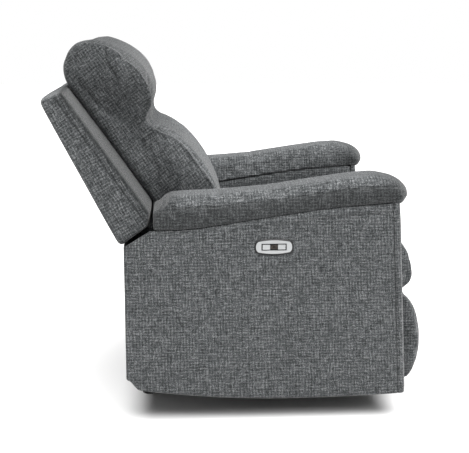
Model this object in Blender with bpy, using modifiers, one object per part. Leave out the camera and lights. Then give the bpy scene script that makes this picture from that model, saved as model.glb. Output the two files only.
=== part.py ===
"""Power rocker recliner armchair.

Metres, +Z up, the sitter faces -Y, and the sitter's right arm, which holds the switch, is at -X.
The origin is on the floor at the middle of the chair. Profiles are given in the (y, z) plane.
"""

import math

import bmesh
import bpy
from mathutils import Matrix, Vector

# Overall chair
WIDTH = 0.860
SEAT_WIDTH = 0.540
GAP = 0.0003
SOFT_GAP = 0.008

# Arms
PANEL = 0.022
ARM_BACK_Y = 0.322
ARM_FRONT_LOW_Y = -0.450
ARM_FRONT_HIGH_Y = -0.420
ARM_CUT_Y = 0.250
ARM_HIGH_FRONT = 0.607
ARM_HIGH_MIDDLE = 0.571
ARM_HIGH_REAR = 0.538
ARM_CORNER_HIGH = 0.494
PANEL_LOW = 0.058
PANEL_LOW_FRONT = 0.068
PANEL_LOW_REAR = 0.094
INNER_PANEL_LOW = 0.140
PAD_THICK_FRONT = 0.061
PAD_THICK_REAR = 0.056
PAD_NOSE = 0.036
PAD_OVERHANG = 0.0045

# Switch plate in the right arm
SWITCH_Y = -0.0805
SWITCH_Z = 0.4905
SWITCH_LENGTH = 0.100
SWITCH_HEIGHT = 0.037
SWITCH_WINDOW_LENGTH = 0.068
SWITCH_WINDOW_HEIGHT = 0.019
SWITCH_PLATE = 0.0032
BUTTON = 0.0145
BUTTON_SPREAD = 0.0245
BUTTON_TRAVEL = 0.0015

# Back
BACK_LENGTH = 0.436
BACK_LOW_REAR = (0.325, 0.498)
BACK_LOW_FRONT = (0.255, 0.548)
BACK_INSET = 0.020
BACK_LEAN_REAR = 27.2
BACK_TOP_DEPTH = 0.055
BACK_BOARD = 0.018
BACK_COVER = 0.012
HEAD_HALF_WIDTH = 0.285
BACK_PIVOT = (0.262, 0.340)
BACK_BRACKET_WIDTH = 0.030
LUMBAR_SHARE = 0.592
HEAD_SHARE = 0.668

# Seat carriage
SEAT_PLATE_LOW = 0.285
SEAT_PLATE_HIGH = 0.3745
SEAT_PLATE_FRONT_Y = -0.400
SEAT_RAIL = 0.023
SEAT_RAIL_DEPTH = 0.060
SEAT_RAIL_FRONT_Y = -0.420
SEAT_RAIL_REAR_Y = 0.240
SEAT_FRONT_Y = -0.500
SEAT_HIGH = 0.480

# Stamped steel linkage, in layers that lie side by side across the chair
STEEL = 0.004
LAYER_GAP = 0.006
LINK_HALF_WIDTH = 0.011
LINK_ARM = 0.235
LINK_REACH = 0.270
LINK_TAIL = 0.080
LINK_HEEL = 0.045
LINK_DROP = 0.23068
LINK_LIFT = 20.0
RIVET_RADIUS = 0.0045
RIVET_PLAY = 0.0004
BOARD_PIVOT = (-0.425, 0.1916)
CRANK_ARM = 0.080
CRANK_CLOSED = -130.0
CRANK_X = 0.0245

# Footrest
FOOTREST_BOARD = 0.015
FOOTREST_BOARD_Y = -0.447
FOOTREST_LOW = 0.045
FOOTREST_HIGH = 0.300
FOOTREST_FRONT_Y = -0.526

# Rocker base
RAIL_INSET = 0.070
RAIL_WIDTH = 0.030
RAIL_HIGH = 0.045
GLIDE_HEIGHT = 0.020
GLIDE_RADIUS = 0.022
RAIL_FRONT_Y = -0.250
RAIL_REAR_Y = 0.290
ROCKER_RADIUS = 0.620
ROCKER_THICK = 0.018
ROCKER_REACH = 0.200
ROCKER_HIGH = 0.155
TUBE = 0.025
CHASSIS_TUBE_Y = (-0.045, 0.190)
ROCK_Y = 0.020

HALF = WIDTH / 2
BACK_HALF_WIDTH = HALF - BACK_INSET
SEAT_HALF = SEAT_WIDTH / 2
RAIL_X = SEAT_HALF - RAIL_INSET
PLATE_X = SEAT_HALF - 0.034
NEAR_LAYER_X = PLATE_X - STEEL - LAYER_GAP
FAR_LAYER_X = NEAR_LAYER_X - STEEL - LAYER_GAP / 2 - 0.002
CUSHION_HALF = SEAT_HALF - SOFT_GAP
SIDES = (("right", -1), ("left", 1))

# A turned profile's local X, Y and Z become the chair's Y, Z and X
SIDEWAYS = Matrix(((0, 0, 1), (1, 0, 0), (0, 1, 0)))


def fresh_collection(name):
    for obj in list(bpy.data.objects):
        bpy.data.objects.remove(obj, do_unlink=True)
    made = bpy.data.collections.new(name)
    bpy.context.scene.collection.children.link(made)
    return made


COLLECTION = fresh_collection("power_recliner")
CUTTERS = bpy.data.collections.new("joined_shapes")
bpy.context.scene.collection.children.link(CUTTERS)


def finish(name, colour, roughness, metallic=0.0):
    made = bpy.data.materials.new(name)
    made.use_nodes = True
    shader = made.node_tree.nodes["Principled BSDF"]
    shader.inputs["Base Color"].default_value = (*colour, 1.0)
    shader.inputs["Roughness"].default_value = roughness
    shader.inputs["Metallic"].default_value = metallic
    return made


FABRIC = finish("slate_chenille", (0.105, 0.122, 0.130), 0.9)
BLACK_STEEL = finish("black_steel", (0.018, 0.018, 0.020), 0.45, 0.6)
ZINC_STEEL = finish("zinc_steel", (0.45, 0.46, 0.47), 0.35, 0.9)
PLYWOOD = finish("plywood", (0.48, 0.34, 0.20), 0.7)
BLACK_PLASTIC = finish("black_plastic", (0.020, 0.020, 0.022), 0.5)
SILVER_PLASTIC = finish("silver_plastic", (0.62, 0.63, 0.64), 0.32, 0.3)


def place(obj, material, parent=None):
    """Links the object, gives it its material, and hangs it from its body's empty where it lies."""
    COLLECTION.objects.link(obj)
    obj.data.materials.append(material)
    if parent is not None:
        obj.parent = parent
        obj.matrix_parent_inverse = Matrix.Translation(parent.location).inverted()
    return obj


def pivot(name, x=0.0, y=0.0, z=0.0):
    """An empty on a joint's axis, which carries the pieces that the joint moves."""
    made = bpy.data.objects.new(name, None)
    made.empty_display_size = 0.04
    made.location = (x, y, z)
    COLLECTION.objects.link(made)
    return made


def closed_spline(curve, points):
    spline = curve.splines.new("POLY")
    spline.points.add(len(points) - 1)
    for spot, (u, v) in zip(spline.points, points):
        spot.co = (u, v, 0, 1)
    spline.use_cyclic_u = True


def profile(name, outline, low_x, high_x, material, parent=None, holes=(), rounding=0.0):
    """A (y, z) outline extruded across the chair from low_x to high_x, with holes through it."""
    curve = bpy.data.curves.new(name, "CURVE")
    curve.dimensions = "2D"
    curve.fill_mode = "BOTH"
    curve.extrude = (high_x - low_x) / 2
    for points in (outline, *holes):
        closed_spline(curve, points)
    made = bpy.data.objects.new(name, curve)
    made.rotation_euler = SIDEWAYS.to_euler()
    made.location.x = (low_x + high_x) / 2
    place(made, material, parent)
    if rounding:
        weld = made.modifiers.new("Weld", "WELD")
        weld.merge_threshold = 0.0001
        bevel = made.modifiers.new("Bevel", "BEVEL")
        bevel.width = rounding
        bevel.segments = 2
        bevel.limit_method = "ANGLE"
        bevel.angle_limit = math.radians(50)
    return made


def pair(name, outline, inner_x, outer_x, material, parent=None, holes=(), rounding=0.0):
    """The same profile on the right and the left, between two distances from the middle."""
    for side, sign in SIDES:
        low, high = sorted((sign * inner_x, sign * outer_x))
        profile(f"{name}_{side}", outline, low, high, material, parent, holes, rounding)


def flat_mesh(outline, thickness, holes=()):
    """The closed mesh of an outline extruded both ways from its own plane."""
    curve = bpy.data.curves.new("outline", "CURVE")
    curve.dimensions = "2D"
    curve.fill_mode = "BOTH"
    curve.extrude = thickness / 2
    for points in (outline, *holes):
        closed_spline(curve, points)
    return mesh_of(curve)


def mesh_of(curve):
    """The welded mesh of a curve, whose caps would otherwise be loose."""
    guide = bpy.data.objects.new(curve.name, curve)
    COLLECTION.objects.link(guide)
    graph = bpy.context.evaluated_depsgraph_get()
    data = bpy.data.meshes.new_from_object(guide.evaluated_get(graph))
    bpy.data.objects.remove(guide, do_unlink=True)
    mesh = bmesh.new()
    mesh.from_mesh(data)
    bmesh.ops.remove_doubles(mesh, verts=mesh.verts, dist=0.00001)
    mesh.to_mesh(data)
    mesh.free()
    return data


def cylinder_mesh(centre, radius, length, axis):
    mesh = bmesh.new()
    turn = Vector((0, 0, 1)).rotation_difference(Vector(axis)).to_matrix().to_4x4()
    bmesh.ops.create_cone(
        mesh,
        cap_ends=True,
        segments=16,
        radius1=radius,
        radius2=radius,
        depth=length,
        matrix=Matrix.Translation(centre) @ turn,
    )
    data = bpy.data.meshes.new("cylinder")
    mesh.to_mesh(data)
    mesh.free()
    return data


def welded(name, data, others, material, parent=None):
    """One piece made of a mesh and the others that are welded or riveted to it."""
    made = place(bpy.data.objects.new(name, data), material, parent)
    for other in others:
        guide = bpy.data.objects.new(f"{name}_union", other)
        guide.hide_render = True
        guide.display_type = "WIRE"
        CUTTERS.objects.link(guide)
        join = made.modifiers.new("Union", "BOOLEAN")
        join.operation = "UNION"
        join.solver = "EXACT"
        join.object = guide
    return made


def studded(name, outline, inner_x, studs, reach, material, parent, holes=()):
    """Flat plates on both sides, each with studs that stand out across the chair by reach."""
    for side, sign in SIDES:
        data = flat_mesh(outline, STEEL, holes)
        data.transform(SIDEWAYS.to_4x4())
        data.transform(Matrix.Translation((sign * (inner_x + STEEL / 2), 0, 0)))
        start, end = (inner_x + 0.001, inner_x + reach) if reach < 0 else (inner_x + STEEL - 0.001, 0)
        if reach > 0:
            end = inner_x + STEEL + reach
        middle, length = sign * (start + end) / 2, abs(end - start)
        pins = [cylinder_mesh((middle, y, z), RIVET_RADIUS, length, (1, 0, 0)) for y, z in studs]
        welded(f"{name}_{side}", data, pins, material, parent)


def lying(name, outline, low_z, high_z, material, parent=None, holes=()):
    """An (x, y) outline extruded upwards from low_z to high_z, with holes through it."""
    curve = bpy.data.curves.new(name, "CURVE")
    curve.dimensions = "2D"
    curve.fill_mode = "BOTH"
    curve.extrude = (high_z - low_z) / 2
    for points in (outline, *holes):
        closed_spline(curve, points)
    made = bpy.data.objects.new(name, curve)
    made.location.z = (low_z + high_z) / 2
    return place(made, material, parent)


def box_outline(low, high):
    return [(low[0], low[1]), (high[0], low[1]), (high[0], high[1]), (low[0], high[1])]


def ring(centre, radius, count=16):
    y, z = centre
    turns = (2 * math.pi * step / count for step in range(count))
    return [(y + radius * math.cos(turn), z + radius * math.sin(turn)) for turn in turns]


def smooth(points, steps=4):
    """Points on a Catmull-Rom curve through the given (y, z) points."""
    ends = [points[0], *points, points[-1]]
    made = []
    for before, start, end, after in zip(ends, ends[1:], ends[2:], ends[3:]):
        for step in range(steps):
            t = step / steps
            weights = (
                (-t + 2 * t**2 - t**3) / 2,
                (2 - 5 * t**2 + 3 * t**3) / 2,
                (t + 4 * t**2 - 3 * t**3) / 2,
                (t**3 - t**2) / 2,
            )
            near = (before, start, end, after)
            made.append(tuple(sum(w * p[axis] for w, p in zip(weights, near)) for axis in (0, 1)))
    return made + [points[-1]]


def block(name, low, high, material, parent=None, bevel=0.0):
    """A box between two corners, with its edges rounded by bevel."""
    mesh = bmesh.new()
    low, high = Vector(low), Vector(high)
    bmesh.ops.create_cube(mesh, size=1.0)
    bmesh.ops.scale(mesh, vec=high - low, verts=mesh.verts)
    bmesh.ops.translate(mesh, vec=(low + high) / 2, verts=mesh.verts)
    data = bpy.data.meshes.new(name)
    mesh.to_mesh(data)
    mesh.free()
    made = place(bpy.data.objects.new(name, data), material, parent)
    if bevel:
        edge = made.modifiers.new("Bevel", "BEVEL")
        edge.width = bevel
        edge.segments = 2
        edge.limit_method = "ANGLE"
    return made


def wire_mesh(route, radius):
    curve = bpy.data.curves.new("wire", "CURVE")
    curve.dimensions = "3D"
    curve.bevel_depth = radius
    curve.bevel_resolution = 0
    curve.use_fill_caps = True
    spline = curve.splines.new("POLY")
    spline.points.add(len(route) - 1)
    for spot, point in zip(spline.points, route):
        spot.co = (*point, 1)
    return mesh_of(curve)


def spring_set(name, routes, tie, radius, material, parent=None):
    """Bent springs that a straight tie wire holds together across their middles."""
    others = [wire_mesh(route, radius) for route in routes]
    return welded(name, wire_mesh(tie, radius), others, material, parent)


def heading(degrees):
    """The (y, z) direction at this elevation over straight forward."""
    turn = math.radians(degrees)
    return Vector((-math.cos(turn), math.sin(turn)))


def along(start, direction, distance):
    return tuple(Vector(start) + direction * distance)


def bar(start, end, half_width, count=6):
    """The outline of a flat link: two parallel edges and two round ends."""
    start, end = Vector(start), Vector(end)
    turn = math.atan2(end.y - start.y, end.x - start.x)
    made = []
    for centre, first in ((end, turn - math.pi / 2), (start, turn + math.pi / 2)):
        for step in range(count + 1):
            angle = first + math.pi * step / count
            made.append((centre.x + half_width * math.cos(angle), centre.y + half_width * math.sin(angle)))
    return made


def arm_line():
    """The seam under the arm pad, from the cut corner at the rear to the front of the arm."""
    return smooth(
        [
            (ARM_CUT_Y, ARM_HIGH_REAR),
            (ARM_CUT_Y - 0.120, ARM_HIGH_REAR + 0.004),
            (-0.070, ARM_HIGH_MIDDLE),
            (-0.250, ARM_HIGH_FRONT - 0.012),
            (ARM_FRONT_HIGH_Y, ARM_HIGH_FRONT),
        ]
    )


def arm_bottom(count=10):
    """The bowed lower edge of the arm, from front to rear."""
    lowest_y = -0.110
    made = []
    for step in range(count + 1):
        y = ARM_FRONT_LOW_Y + (ARM_BACK_Y - ARM_FRONT_LOW_Y) * step / count
        end_y = ARM_FRONT_LOW_Y if y < lowest_y else ARM_BACK_Y
        end_z = PANEL_LOW_FRONT if y < lowest_y else PANEL_LOW_REAR
        made.append((y, PANEL_LOW + (end_z - PANEL_LOW) * ((y - lowest_y) / (end_y - lowest_y)) ** 2))
    return made


def front_edge_y(z):
    share = (z - PANEL_LOW_FRONT) / (ARM_HIGH_FRONT - PANEL_LOW_FRONT)
    return ARM_FRONT_LOW_Y + (ARM_FRONT_HIGH_Y - ARM_FRONT_LOW_Y) * share


def turned_window(grow=0.0):
    """The switch's rectangular window, as a (y, z) outline."""
    half_length = SWITCH_WINDOW_LENGTH / 2 + grow
    half_height = SWITCH_WINDOW_HEIGHT / 2 + grow
    corners = ((-1, -1), (1, -1), (1, 1), (-1, 1))
    return [(SWITCH_Y + u * half_length, SWITCH_Z + v * half_height) for u, v in corners]


def rocker_base():
    """Two steel rails on plastic glides, tied by two cross tubes."""
    inner, outer = RAIL_X - RAIL_WIDTH / 2, RAIL_X + RAIL_WIDTH / 2
    front_y, rear_y = RAIL_FRONT_Y + 0.060, RAIL_REAR_Y - 0.060
    right = [(-inner, RAIL_FRONT_Y), (-inner, front_y), (inner, front_y), (inner, RAIL_FRONT_Y)]
    left = [(inner, RAIL_REAR_Y), (inner, rear_y), (-inner, rear_y), (-inner, RAIL_REAR_Y)]
    corners = [(outer, RAIL_FRONT_Y), (outer, RAIL_REAR_Y)]
    outline = [(-outer, RAIL_FRONT_Y), *right, *corners, *left, (-outer, RAIL_REAR_Y)]
    gap = box_outline((-inner, front_y + TUBE), (inner, rear_y - TUBE))
    lying("base_frame", outline, GLIDE_HEIGHT, RAIL_HIGH, BLACK_STEEL, None, (gap,))
    height = GLIDE_HEIGHT - GAP
    for side, sign in SIDES:
        for end, y in (("front", RAIL_FRONT_Y + 0.025), ("rear", RAIL_REAR_Y - 0.025)):
            data = cylinder_mesh((sign * RAIL_X, y, height / 2), GLIDE_RADIUS, height, (0, 0, 1))
            place(bpy.data.objects.new(f"foot_glide_{end}_{side}", data), BLACK_PLASTIC)


def rocker_cams(body):
    """Two curved rockers that roll on the base rails, with the cross tubes that carry the arms."""
    low = RAIL_HIGH + GAP
    middle = (ROCK_Y, low + ROCKER_RADIUS)
    half_turn = math.asin(ROCKER_REACH / ROCKER_RADIUS)
    arc = []
    for step in range(13):
        turn = -half_turn + 2 * half_turn * step / 12
        arc.append((middle[0] + ROCKER_RADIUS * math.sin(turn), middle[1] - ROCKER_RADIUS * math.cos(turn)))
    top = [(ROCK_Y + ROCKER_REACH, ROCKER_HIGH), (ROCK_Y - ROCKER_REACH, ROCKER_HIGH)]
    inner = RAIL_X - ROCKER_THICK / 2
    pair("rocker_cam", arc + top, inner, inner + ROCKER_THICK, BLACK_STEEL, body)
    reach = SEAT_HALF - GAP
    low_z = ROCKER_HIGH + GAP
    for end, y in zip(("front", "rear"), CHASSIS_TUBE_Y):
        corners = ((-reach, y - TUBE / 2, low_z), (reach, y + TUBE / 2, low_z + TUBE))
        block(f"chassis_tube_{end}", *corners, BLACK_STEEL, body, bevel=0.003)


def arms(body):
    """Each arm is a plywood box of four upholstered boards, with a foam pad on top."""
    line = arm_line()
    corner = (ARM_BACK_Y, ARM_CORNER_HIGH)
    seam = [(y, z - GAP) for y, z in line]
    outer = arm_bottom() + [corner] + seam
    inner_low = [(front_edge_y(INNER_PANEL_LOW), INNER_PANEL_LOW), (ARM_BACK_Y, INNER_PANEL_LOW)]
    inner = inner_low + [corner] + seam
    pair_holes = {"right": (turned_window(grow=0.001),), "left": ()}
    for side, sign in SIDES:
        low, high = sorted((sign * (HALF - PANEL), sign * HALF))
        profile(f"arm_outer_panel_{side}", outer, low, high, FABRIC, body, pair_holes[side], 0.004)
    pair("arm_inner_panel", inner, SEAT_HALF, SEAT_HALF + PANEL, FABRIC, body, rounding=0.004)
    between = (SEAT_HALF + PANEL + GAP, HALF - PANEL - GAP)
    front_low = PANEL_LOW_FRONT + 0.004
    front_high = ARM_HIGH_FRONT - 0.004
    front = [
        (front_edge_y(front_low), front_low),
        (front_edge_y(front_low) + PANEL, front_low),
        (front_edge_y(front_high) + PANEL, front_high),
        (front_edge_y(front_high), front_high),
    ]
    pair("arm_front_panel", front, *between, FABRIC, body)
    rear_high = ARM_CORNER_HIGH - 0.004
    rear = [
        (ARM_BACK_Y - PANEL, PANEL_LOW_REAR),
        (ARM_BACK_Y, PANEL_LOW_REAR),
        (ARM_BACK_Y, rear_high),
        (ARM_BACK_Y - PANEL, rear_high),
    ]
    pair("arm_rear_panel", rear, *between, FABRIC, body)
    crown = smooth(
        [
            (ARM_FRONT_HIGH_Y - 0.026, ARM_HIGH_FRONT - 0.006),
            (ARM_FRONT_HIGH_Y - PAD_NOSE, ARM_HIGH_FRONT + 0.014),
            (ARM_FRONT_HIGH_Y - 0.026, ARM_HIGH_FRONT + 0.040),
            (ARM_FRONT_HIGH_Y + 0.010, ARM_HIGH_FRONT + PAD_THICK_FRONT - 0.002),
            (-0.300, ARM_HIGH_FRONT + PAD_THICK_FRONT - 0.005),
            (-0.070, ARM_HIGH_MIDDLE + PAD_THICK_REAR + 0.003),
            (0.100, ARM_HIGH_REAR + PAD_THICK_REAR + 0.024),
            (0.190, ARM_HIGH_REAR + PAD_THICK_REAR + 0.020),
            (ARM_CUT_Y - 0.008, ARM_HIGH_REAR + PAD_THICK_REAR),
        ],
        steps=2,
    )
    under = [(y, z) for y, z in line if y < ARM_CUT_Y - 0.008]
    pad = crown + [(ARM_CUT_Y - 0.008, ARM_HIGH_REAR + 0.001)] + under
    pair("arm_pad", pad, SEAT_HALF, HALF + PAD_OVERHANG, FABRIC, body, rounding=0.010)


def rear_skirt(body):
    """The upholstered board that closes the chair behind the mechanism, with the power inlet."""
    reach = SEAT_HALF - GAP
    low, high = 0.120, BACK_PIVOT[1] + 0.005
    y = ARM_BACK_Y - PANEL
    block("rear_skirt_panel", (-reach, y, low), (reach, ARM_BACK_Y, high), FABRIC, body)
    inlet_x, inlet_z, half, depth = -0.190, 0.165, 0.015, 0.008
    pin_hole = 0.005
    curve = bpy.data.curves.new("power_inlet", "CURVE")
    curve.dimensions = "2D"
    curve.fill_mode = "BOTH"
    curve.extrude = depth / 2
    closed_spline(curve, box_outline((-half, -half), (half, half)))
    closed_spline(curve, ring((0, 0), pin_hole))
    made = bpy.data.objects.new("power_inlet", curve)
    made.rotation_euler = (math.pi / 2, 0, 0)
    made.location = (inlet_x, ARM_BACK_Y + GAP + depth / 2, inlet_z)
    place(made, BLACK_PLASTIC, body)


def switch(body):
    """A silver plate in the right arm, with two push buttons and a charging port between them."""
    half_length, half_height = SWITCH_LENGTH / 2, SWITCH_HEIGHT / 2
    swell = 0.004
    outline = []
    for step in range(9):
        share = -1 + step / 4
        rise = half_height - swell * share**2
        outline.append((SWITCH_Y + share * (half_length - 0.010), SWITCH_Z - rise))
    right = [(y, z) for y, z in ring((0, 0), half_height - swell, 16) if y > 0.001]
    right = sorted(right, key=lambda point: point[1])
    outline += [(SWITCH_Y + half_length - 0.010 + y * 0.6, SWITCH_Z + z) for y, z in right]
    mirrored = [(2 * SWITCH_Y - y, 2 * SWITCH_Z - z) for y, z in outline]
    plate_inner = -HALF - GAP
    plate_outer = plate_inner - SWITCH_PLATE
    profile(
        "switch_plate",
        outline + mirrored,
        plate_outer,
        plate_inner,
        SILVER_PLASTIC,
        body,
        (turned_window(),),
    )
    body_face = -HALF + 0.0015
    profile("switch_housing", turned_window(), body_face, body_face + 0.026, BLACK_PLASTIC, body)
    port_half = (BUTTON_SPREAD - BUTTON / 2) - 0.003
    port_high, slot_half, slot_high = 0.005, 0.006, 0.002
    low_y, high_y = SWITCH_Y - port_half, SWITCH_Y + port_half
    port = box_outline((low_y, SWITCH_Z - port_high), (high_y, SWITCH_Z + port_high))
    low_y, high_y = SWITCH_Y - slot_half, SWITCH_Y + slot_half
    slot = box_outline((low_y, SWITCH_Z - slot_high), (high_y, SWITCH_Z + slot_high))
    profile("usb_port", port, plate_outer + 0.001, body_face - GAP, BLACK_PLASTIC, body, (slot,))
    for name, offset in (("button_recline", -BUTTON_SPREAD), ("button_return", BUTTON_SPREAD)):
        half = BUTTON / 2
        centre_y = SWITCH_Y + offset
        rear = body_face - GAP - BUTTON_TRAVEL - 0.0002
        axis = pivot(f"{name}_axis", -HALF, centre_y, SWITCH_Z)
        axis.parent = body
        axis.matrix_parent_inverse = Matrix.Translation(body.location).inverted()
        low = (plate_outer - 0.0006, centre_y - half, SWITCH_Z - half)
        high = (rear, centre_y + half, SWITCH_Z + half)
        block(name, low, high, SILVER_PLASTIC, axis, bevel=0.0008)


def seat_tracks(body):
    """Steel angles on the inner panels, which the seat carriage slides along."""
    half_length, middle_y = 0.300, -0.040
    low = 0.300
    outline = [
        (PLATE_X + 0.0065, low),
        (SEAT_HALF - GAP, low),
        (SEAT_HALF - GAP, low + 0.040),
        (SEAT_HALF - GAP - STEEL, low + 0.040),
        (SEAT_HALF - GAP - STEEL, low + STEEL),
        (PLATE_X + 0.0065, low + STEEL),
    ]
    stand = Matrix.Translation((0, middle_y, 0)) @ Matrix.Rotation(math.pi / 2, 4, "X")
    for side, sign in SIDES:
        data = flat_mesh([(sign * x, z) for x, z in outline], 2 * half_length)
        data.transform(stand)
        place(bpy.data.objects.new(f"seat_track_{side}", data), ZINC_STEEL, body)


# A longer link leans further, so that the folded linkage still clears the floor and the seat
LINK_CLOSED = -90 - math.degrees(math.acos(LINK_DROP / LINK_ARM))
LINK_ANGLE = heading(LINK_CLOSED)
LIFT = heading(LINK_LIFT)
KNEE = along(BOARD_PIVOT, LIFT, -LINK_REACH)
DRIVE_PIVOT = along(KNEE, LINK_ANGLE, -LINK_ARM)
IDLER_PIVOT = along(DRIVE_PIVOT, LIFT, -LINK_TAIL)
TAIL = along(KNEE, LIFT, -LINK_TAIL)
HEEL = along(KNEE, LINK_ANGLE, LINK_HEEL)
BOARD_HEEL = along(BOARD_PIVOT, LINK_ANGLE, LINK_HEEL)


def bore(centre):
    return ring(centre, RIVET_RADIUS + RIVET_PLAY)


def seat_carriage(body):
    """The sliding seat: two steel side plates, a timber frame, springs, the cushion and the motor."""
    plate = [
        (SEAT_PLATE_FRONT_Y, SEAT_PLATE_HIGH),
        (SEAT_PLATE_FRONT_Y, SEAT_PLATE_HIGH - 0.020),
        (DRIVE_PIVOT[0] - 0.040, SEAT_PLATE_LOW + 0.020),
        (DRIVE_PIVOT[0], SEAT_PLATE_LOW),
        (IDLER_PIVOT[0] + 0.040, SEAT_PLATE_LOW),
        (BACK_PIVOT[0] - 0.060, BACK_PIVOT[1] - 0.030),
        (BACK_PIVOT[0], BACK_PIVOT[1] - 0.022),
        (BACK_PIVOT[0] + 0.020, BACK_PIVOT[1]),
        (BACK_PIVOT[0] + 0.016, SEAT_PLATE_HIGH - 0.012),
        (BACK_PIVOT[0] - 0.004, SEAT_PLATE_HIGH),
    ]
    studs = (DRIVE_PIVOT, IDLER_PIVOT, BACK_PIVOT)
    reach = NEAR_LAYER_X - PLATE_X - 0.001
    studded("seat_plate", plate, PLATE_X, studs, reach, BLACK_STEEL, body)
    low, high = SEAT_PLATE_HIGH + GAP, SEAT_PLATE_HIGH + GAP + SEAT_RAIL
    front_inner = SEAT_RAIL_FRONT_Y + SEAT_RAIL_DEPTH
    rear_inner = SEAT_RAIL_REAR_Y - SEAT_RAIL_DEPTH
    reach = CUSHION_HALF
    outline = box_outline((-reach, SEAT_RAIL_FRONT_Y), (reach, SEAT_RAIL_REAR_Y))
    middle = box_outline((0.058 - reach, front_inner), (reach - 0.058, rear_inner))
    lying("seat_frame", outline, low, high, PLYWOOD, body, (middle,))
    wire = 0.0018
    routes = []
    for index in range(5):
        x = (index - 2) * 0.070
        bends = 14
        length = rear_inner - front_inner + 0.040
        route = []
        for step in range(bends + 1):
            sway = 0.022 if step % 2 else -0.022
            route.append((x + sway, front_inner - 0.020 + length * step / bends, high + wire + 0.0006))
        routes.append(route)
    tie_y, tie_z = (front_inner + rear_inner) / 2, high + wire + 0.0006
    tie = [(-0.175, tie_y, tie_z), (0.175, tie_y, tie_z)]
    spring_set("seat_springs", routes, tie, wire, ZINC_STEEL, body)
    floor = high + 2 * wire + 0.0020
    nose_y = SEAT_RAIL_FRONT_Y - 0.006
    cushion = smooth(
        [
            (nose_y, SEAT_PLATE_HIGH - 0.0545),
            (nose_y - 0.024, SEAT_PLATE_HIGH - 0.0620),
            (SEAT_FRONT_Y + 0.010, SEAT_PLATE_HIGH - 0.0425),
            (SEAT_FRONT_Y, SEAT_PLATE_HIGH - 0.0045),
            (SEAT_FRONT_Y + 0.004, SEAT_HIGH - 0.060),
            (SEAT_FRONT_Y + 0.030, SEAT_HIGH - 0.020),
            (SEAT_FRONT_Y + 0.080, SEAT_HIGH - 0.002),
            (-0.250, SEAT_HIGH),
            (-0.050, SEAT_HIGH - 0.012),
            (0.160, SEAT_HIGH - 0.030),
        ],
        steps=2,
    )
    cushion += [(0.200, SEAT_HIGH - 0.040), (0.200, floor), (nose_y, floor)]
    profile("seat_cushion", cushion, -CUSHION_HALF, CUSHION_HALF, FABRIC, body, rounding=0.010)


def drive(body, slide):
    """The electric drive: a geared motor on a long rail, and the block that it moves along it."""
    rail_z, rail_half = DRIVE_PIVOT[1] - 0.075, 0.009
    rail_low, rail_high = rail_z - rail_half, rail_z + rail_half
    low, high = (-rail_half, -0.330, rail_low), (rail_half, 0.0695, rail_high)
    block("drive_rail", low, high, ZINC_STEEL, body)
    motor_half = 0.034
    low, high = (-motor_half, 0.070, rail_z - 0.033), (motor_half, 0.176, rail_z + 0.035)
    block("drive_motor", low, high, BLACK_PLASTIC, body, bevel=0.008)
    start = along(DRIVE_PIVOT, heading(CRANK_CLOSED), CRANK_ARM)
    y = start[0]
    play = 0.0008
    window = box_outline((-rail_half - play, rail_low - play), (rail_half + play, rail_high + play))
    curve = bpy.data.curves.new("drive_block", "CURVE")
    curve.dimensions = "2D"
    curve.fill_mode = "BOTH"
    curve.extrude = 0.020
    reach = rail_half + 0.010
    closed_spline(curve, box_outline((-reach, rail_z - reach), (reach, rail_z + reach)))
    closed_spline(curve, window)
    made = bpy.data.objects.new("drive_block", curve)
    made.rotation_euler = (math.pi / 2, 0, 0)
    made.location.y = y
    place(made, BLACK_PLASTIC, slide)


def linkage(drive_body, idler_body, reach_body, control_body, board_body):
    """Two linked parallelograms on each side, which carry the footrest out and turn it level."""
    near = (NEAR_LAYER_X, NEAR_LAYER_X + STEEL)
    width = LINK_HALF_WIDTH
    holes = [bore(spot) for spot in (DRIVE_PIVOT, KNEE, HEEL)]
    pair("drive_link", bar(DRIVE_PIVOT, HEEL, width), *near, ZINC_STEEL, drive_body, holes)
    holes = [bore(spot) for spot in (IDLER_PIVOT, TAIL)]
    pair("idler_link", bar(IDLER_PIVOT, TAIL, width), *near, ZINC_STEEL, idler_body, holes)
    reach = NEAR_LAYER_X - FAR_LAYER_X + 0.001
    outline, studs = bar(TAIL, BOARD_PIVOT, width), (TAIL, KNEE, BOARD_PIVOT)
    studded("reach_link", outline, FAR_LAYER_X, studs, reach, ZINC_STEEL, reach_body)
    outline, studs = bar(HEEL, BOARD_HEEL, width), (HEEL, BOARD_HEEL)
    studded("control_link", outline, FAR_LAYER_X, studs, reach, ZINC_STEEL, control_body)
    tube_half, reach = 0.010, NEAR_LAYER_X - 0.001 - GAP
    y, z = DRIVE_PIVOT
    tube = flat_mesh(box_outline((y - tube_half, z - tube_half), (y + tube_half, z + tube_half)), 2 * reach)
    tube.transform(SIDEWAYS.to_4x4())
    crank = flat_mesh(bar(DRIVE_PIVOT, along(DRIVE_PIVOT, heading(CRANK_CLOSED), CRANK_ARM), 0.009), STEEL)
    crank.transform(SIDEWAYS.to_4x4())
    crank.transform(Matrix.Translation((CRANK_X, 0, 0)))
    welded("torque_tube", tube, [crank], BLACK_STEEL, drive_body)


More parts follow.
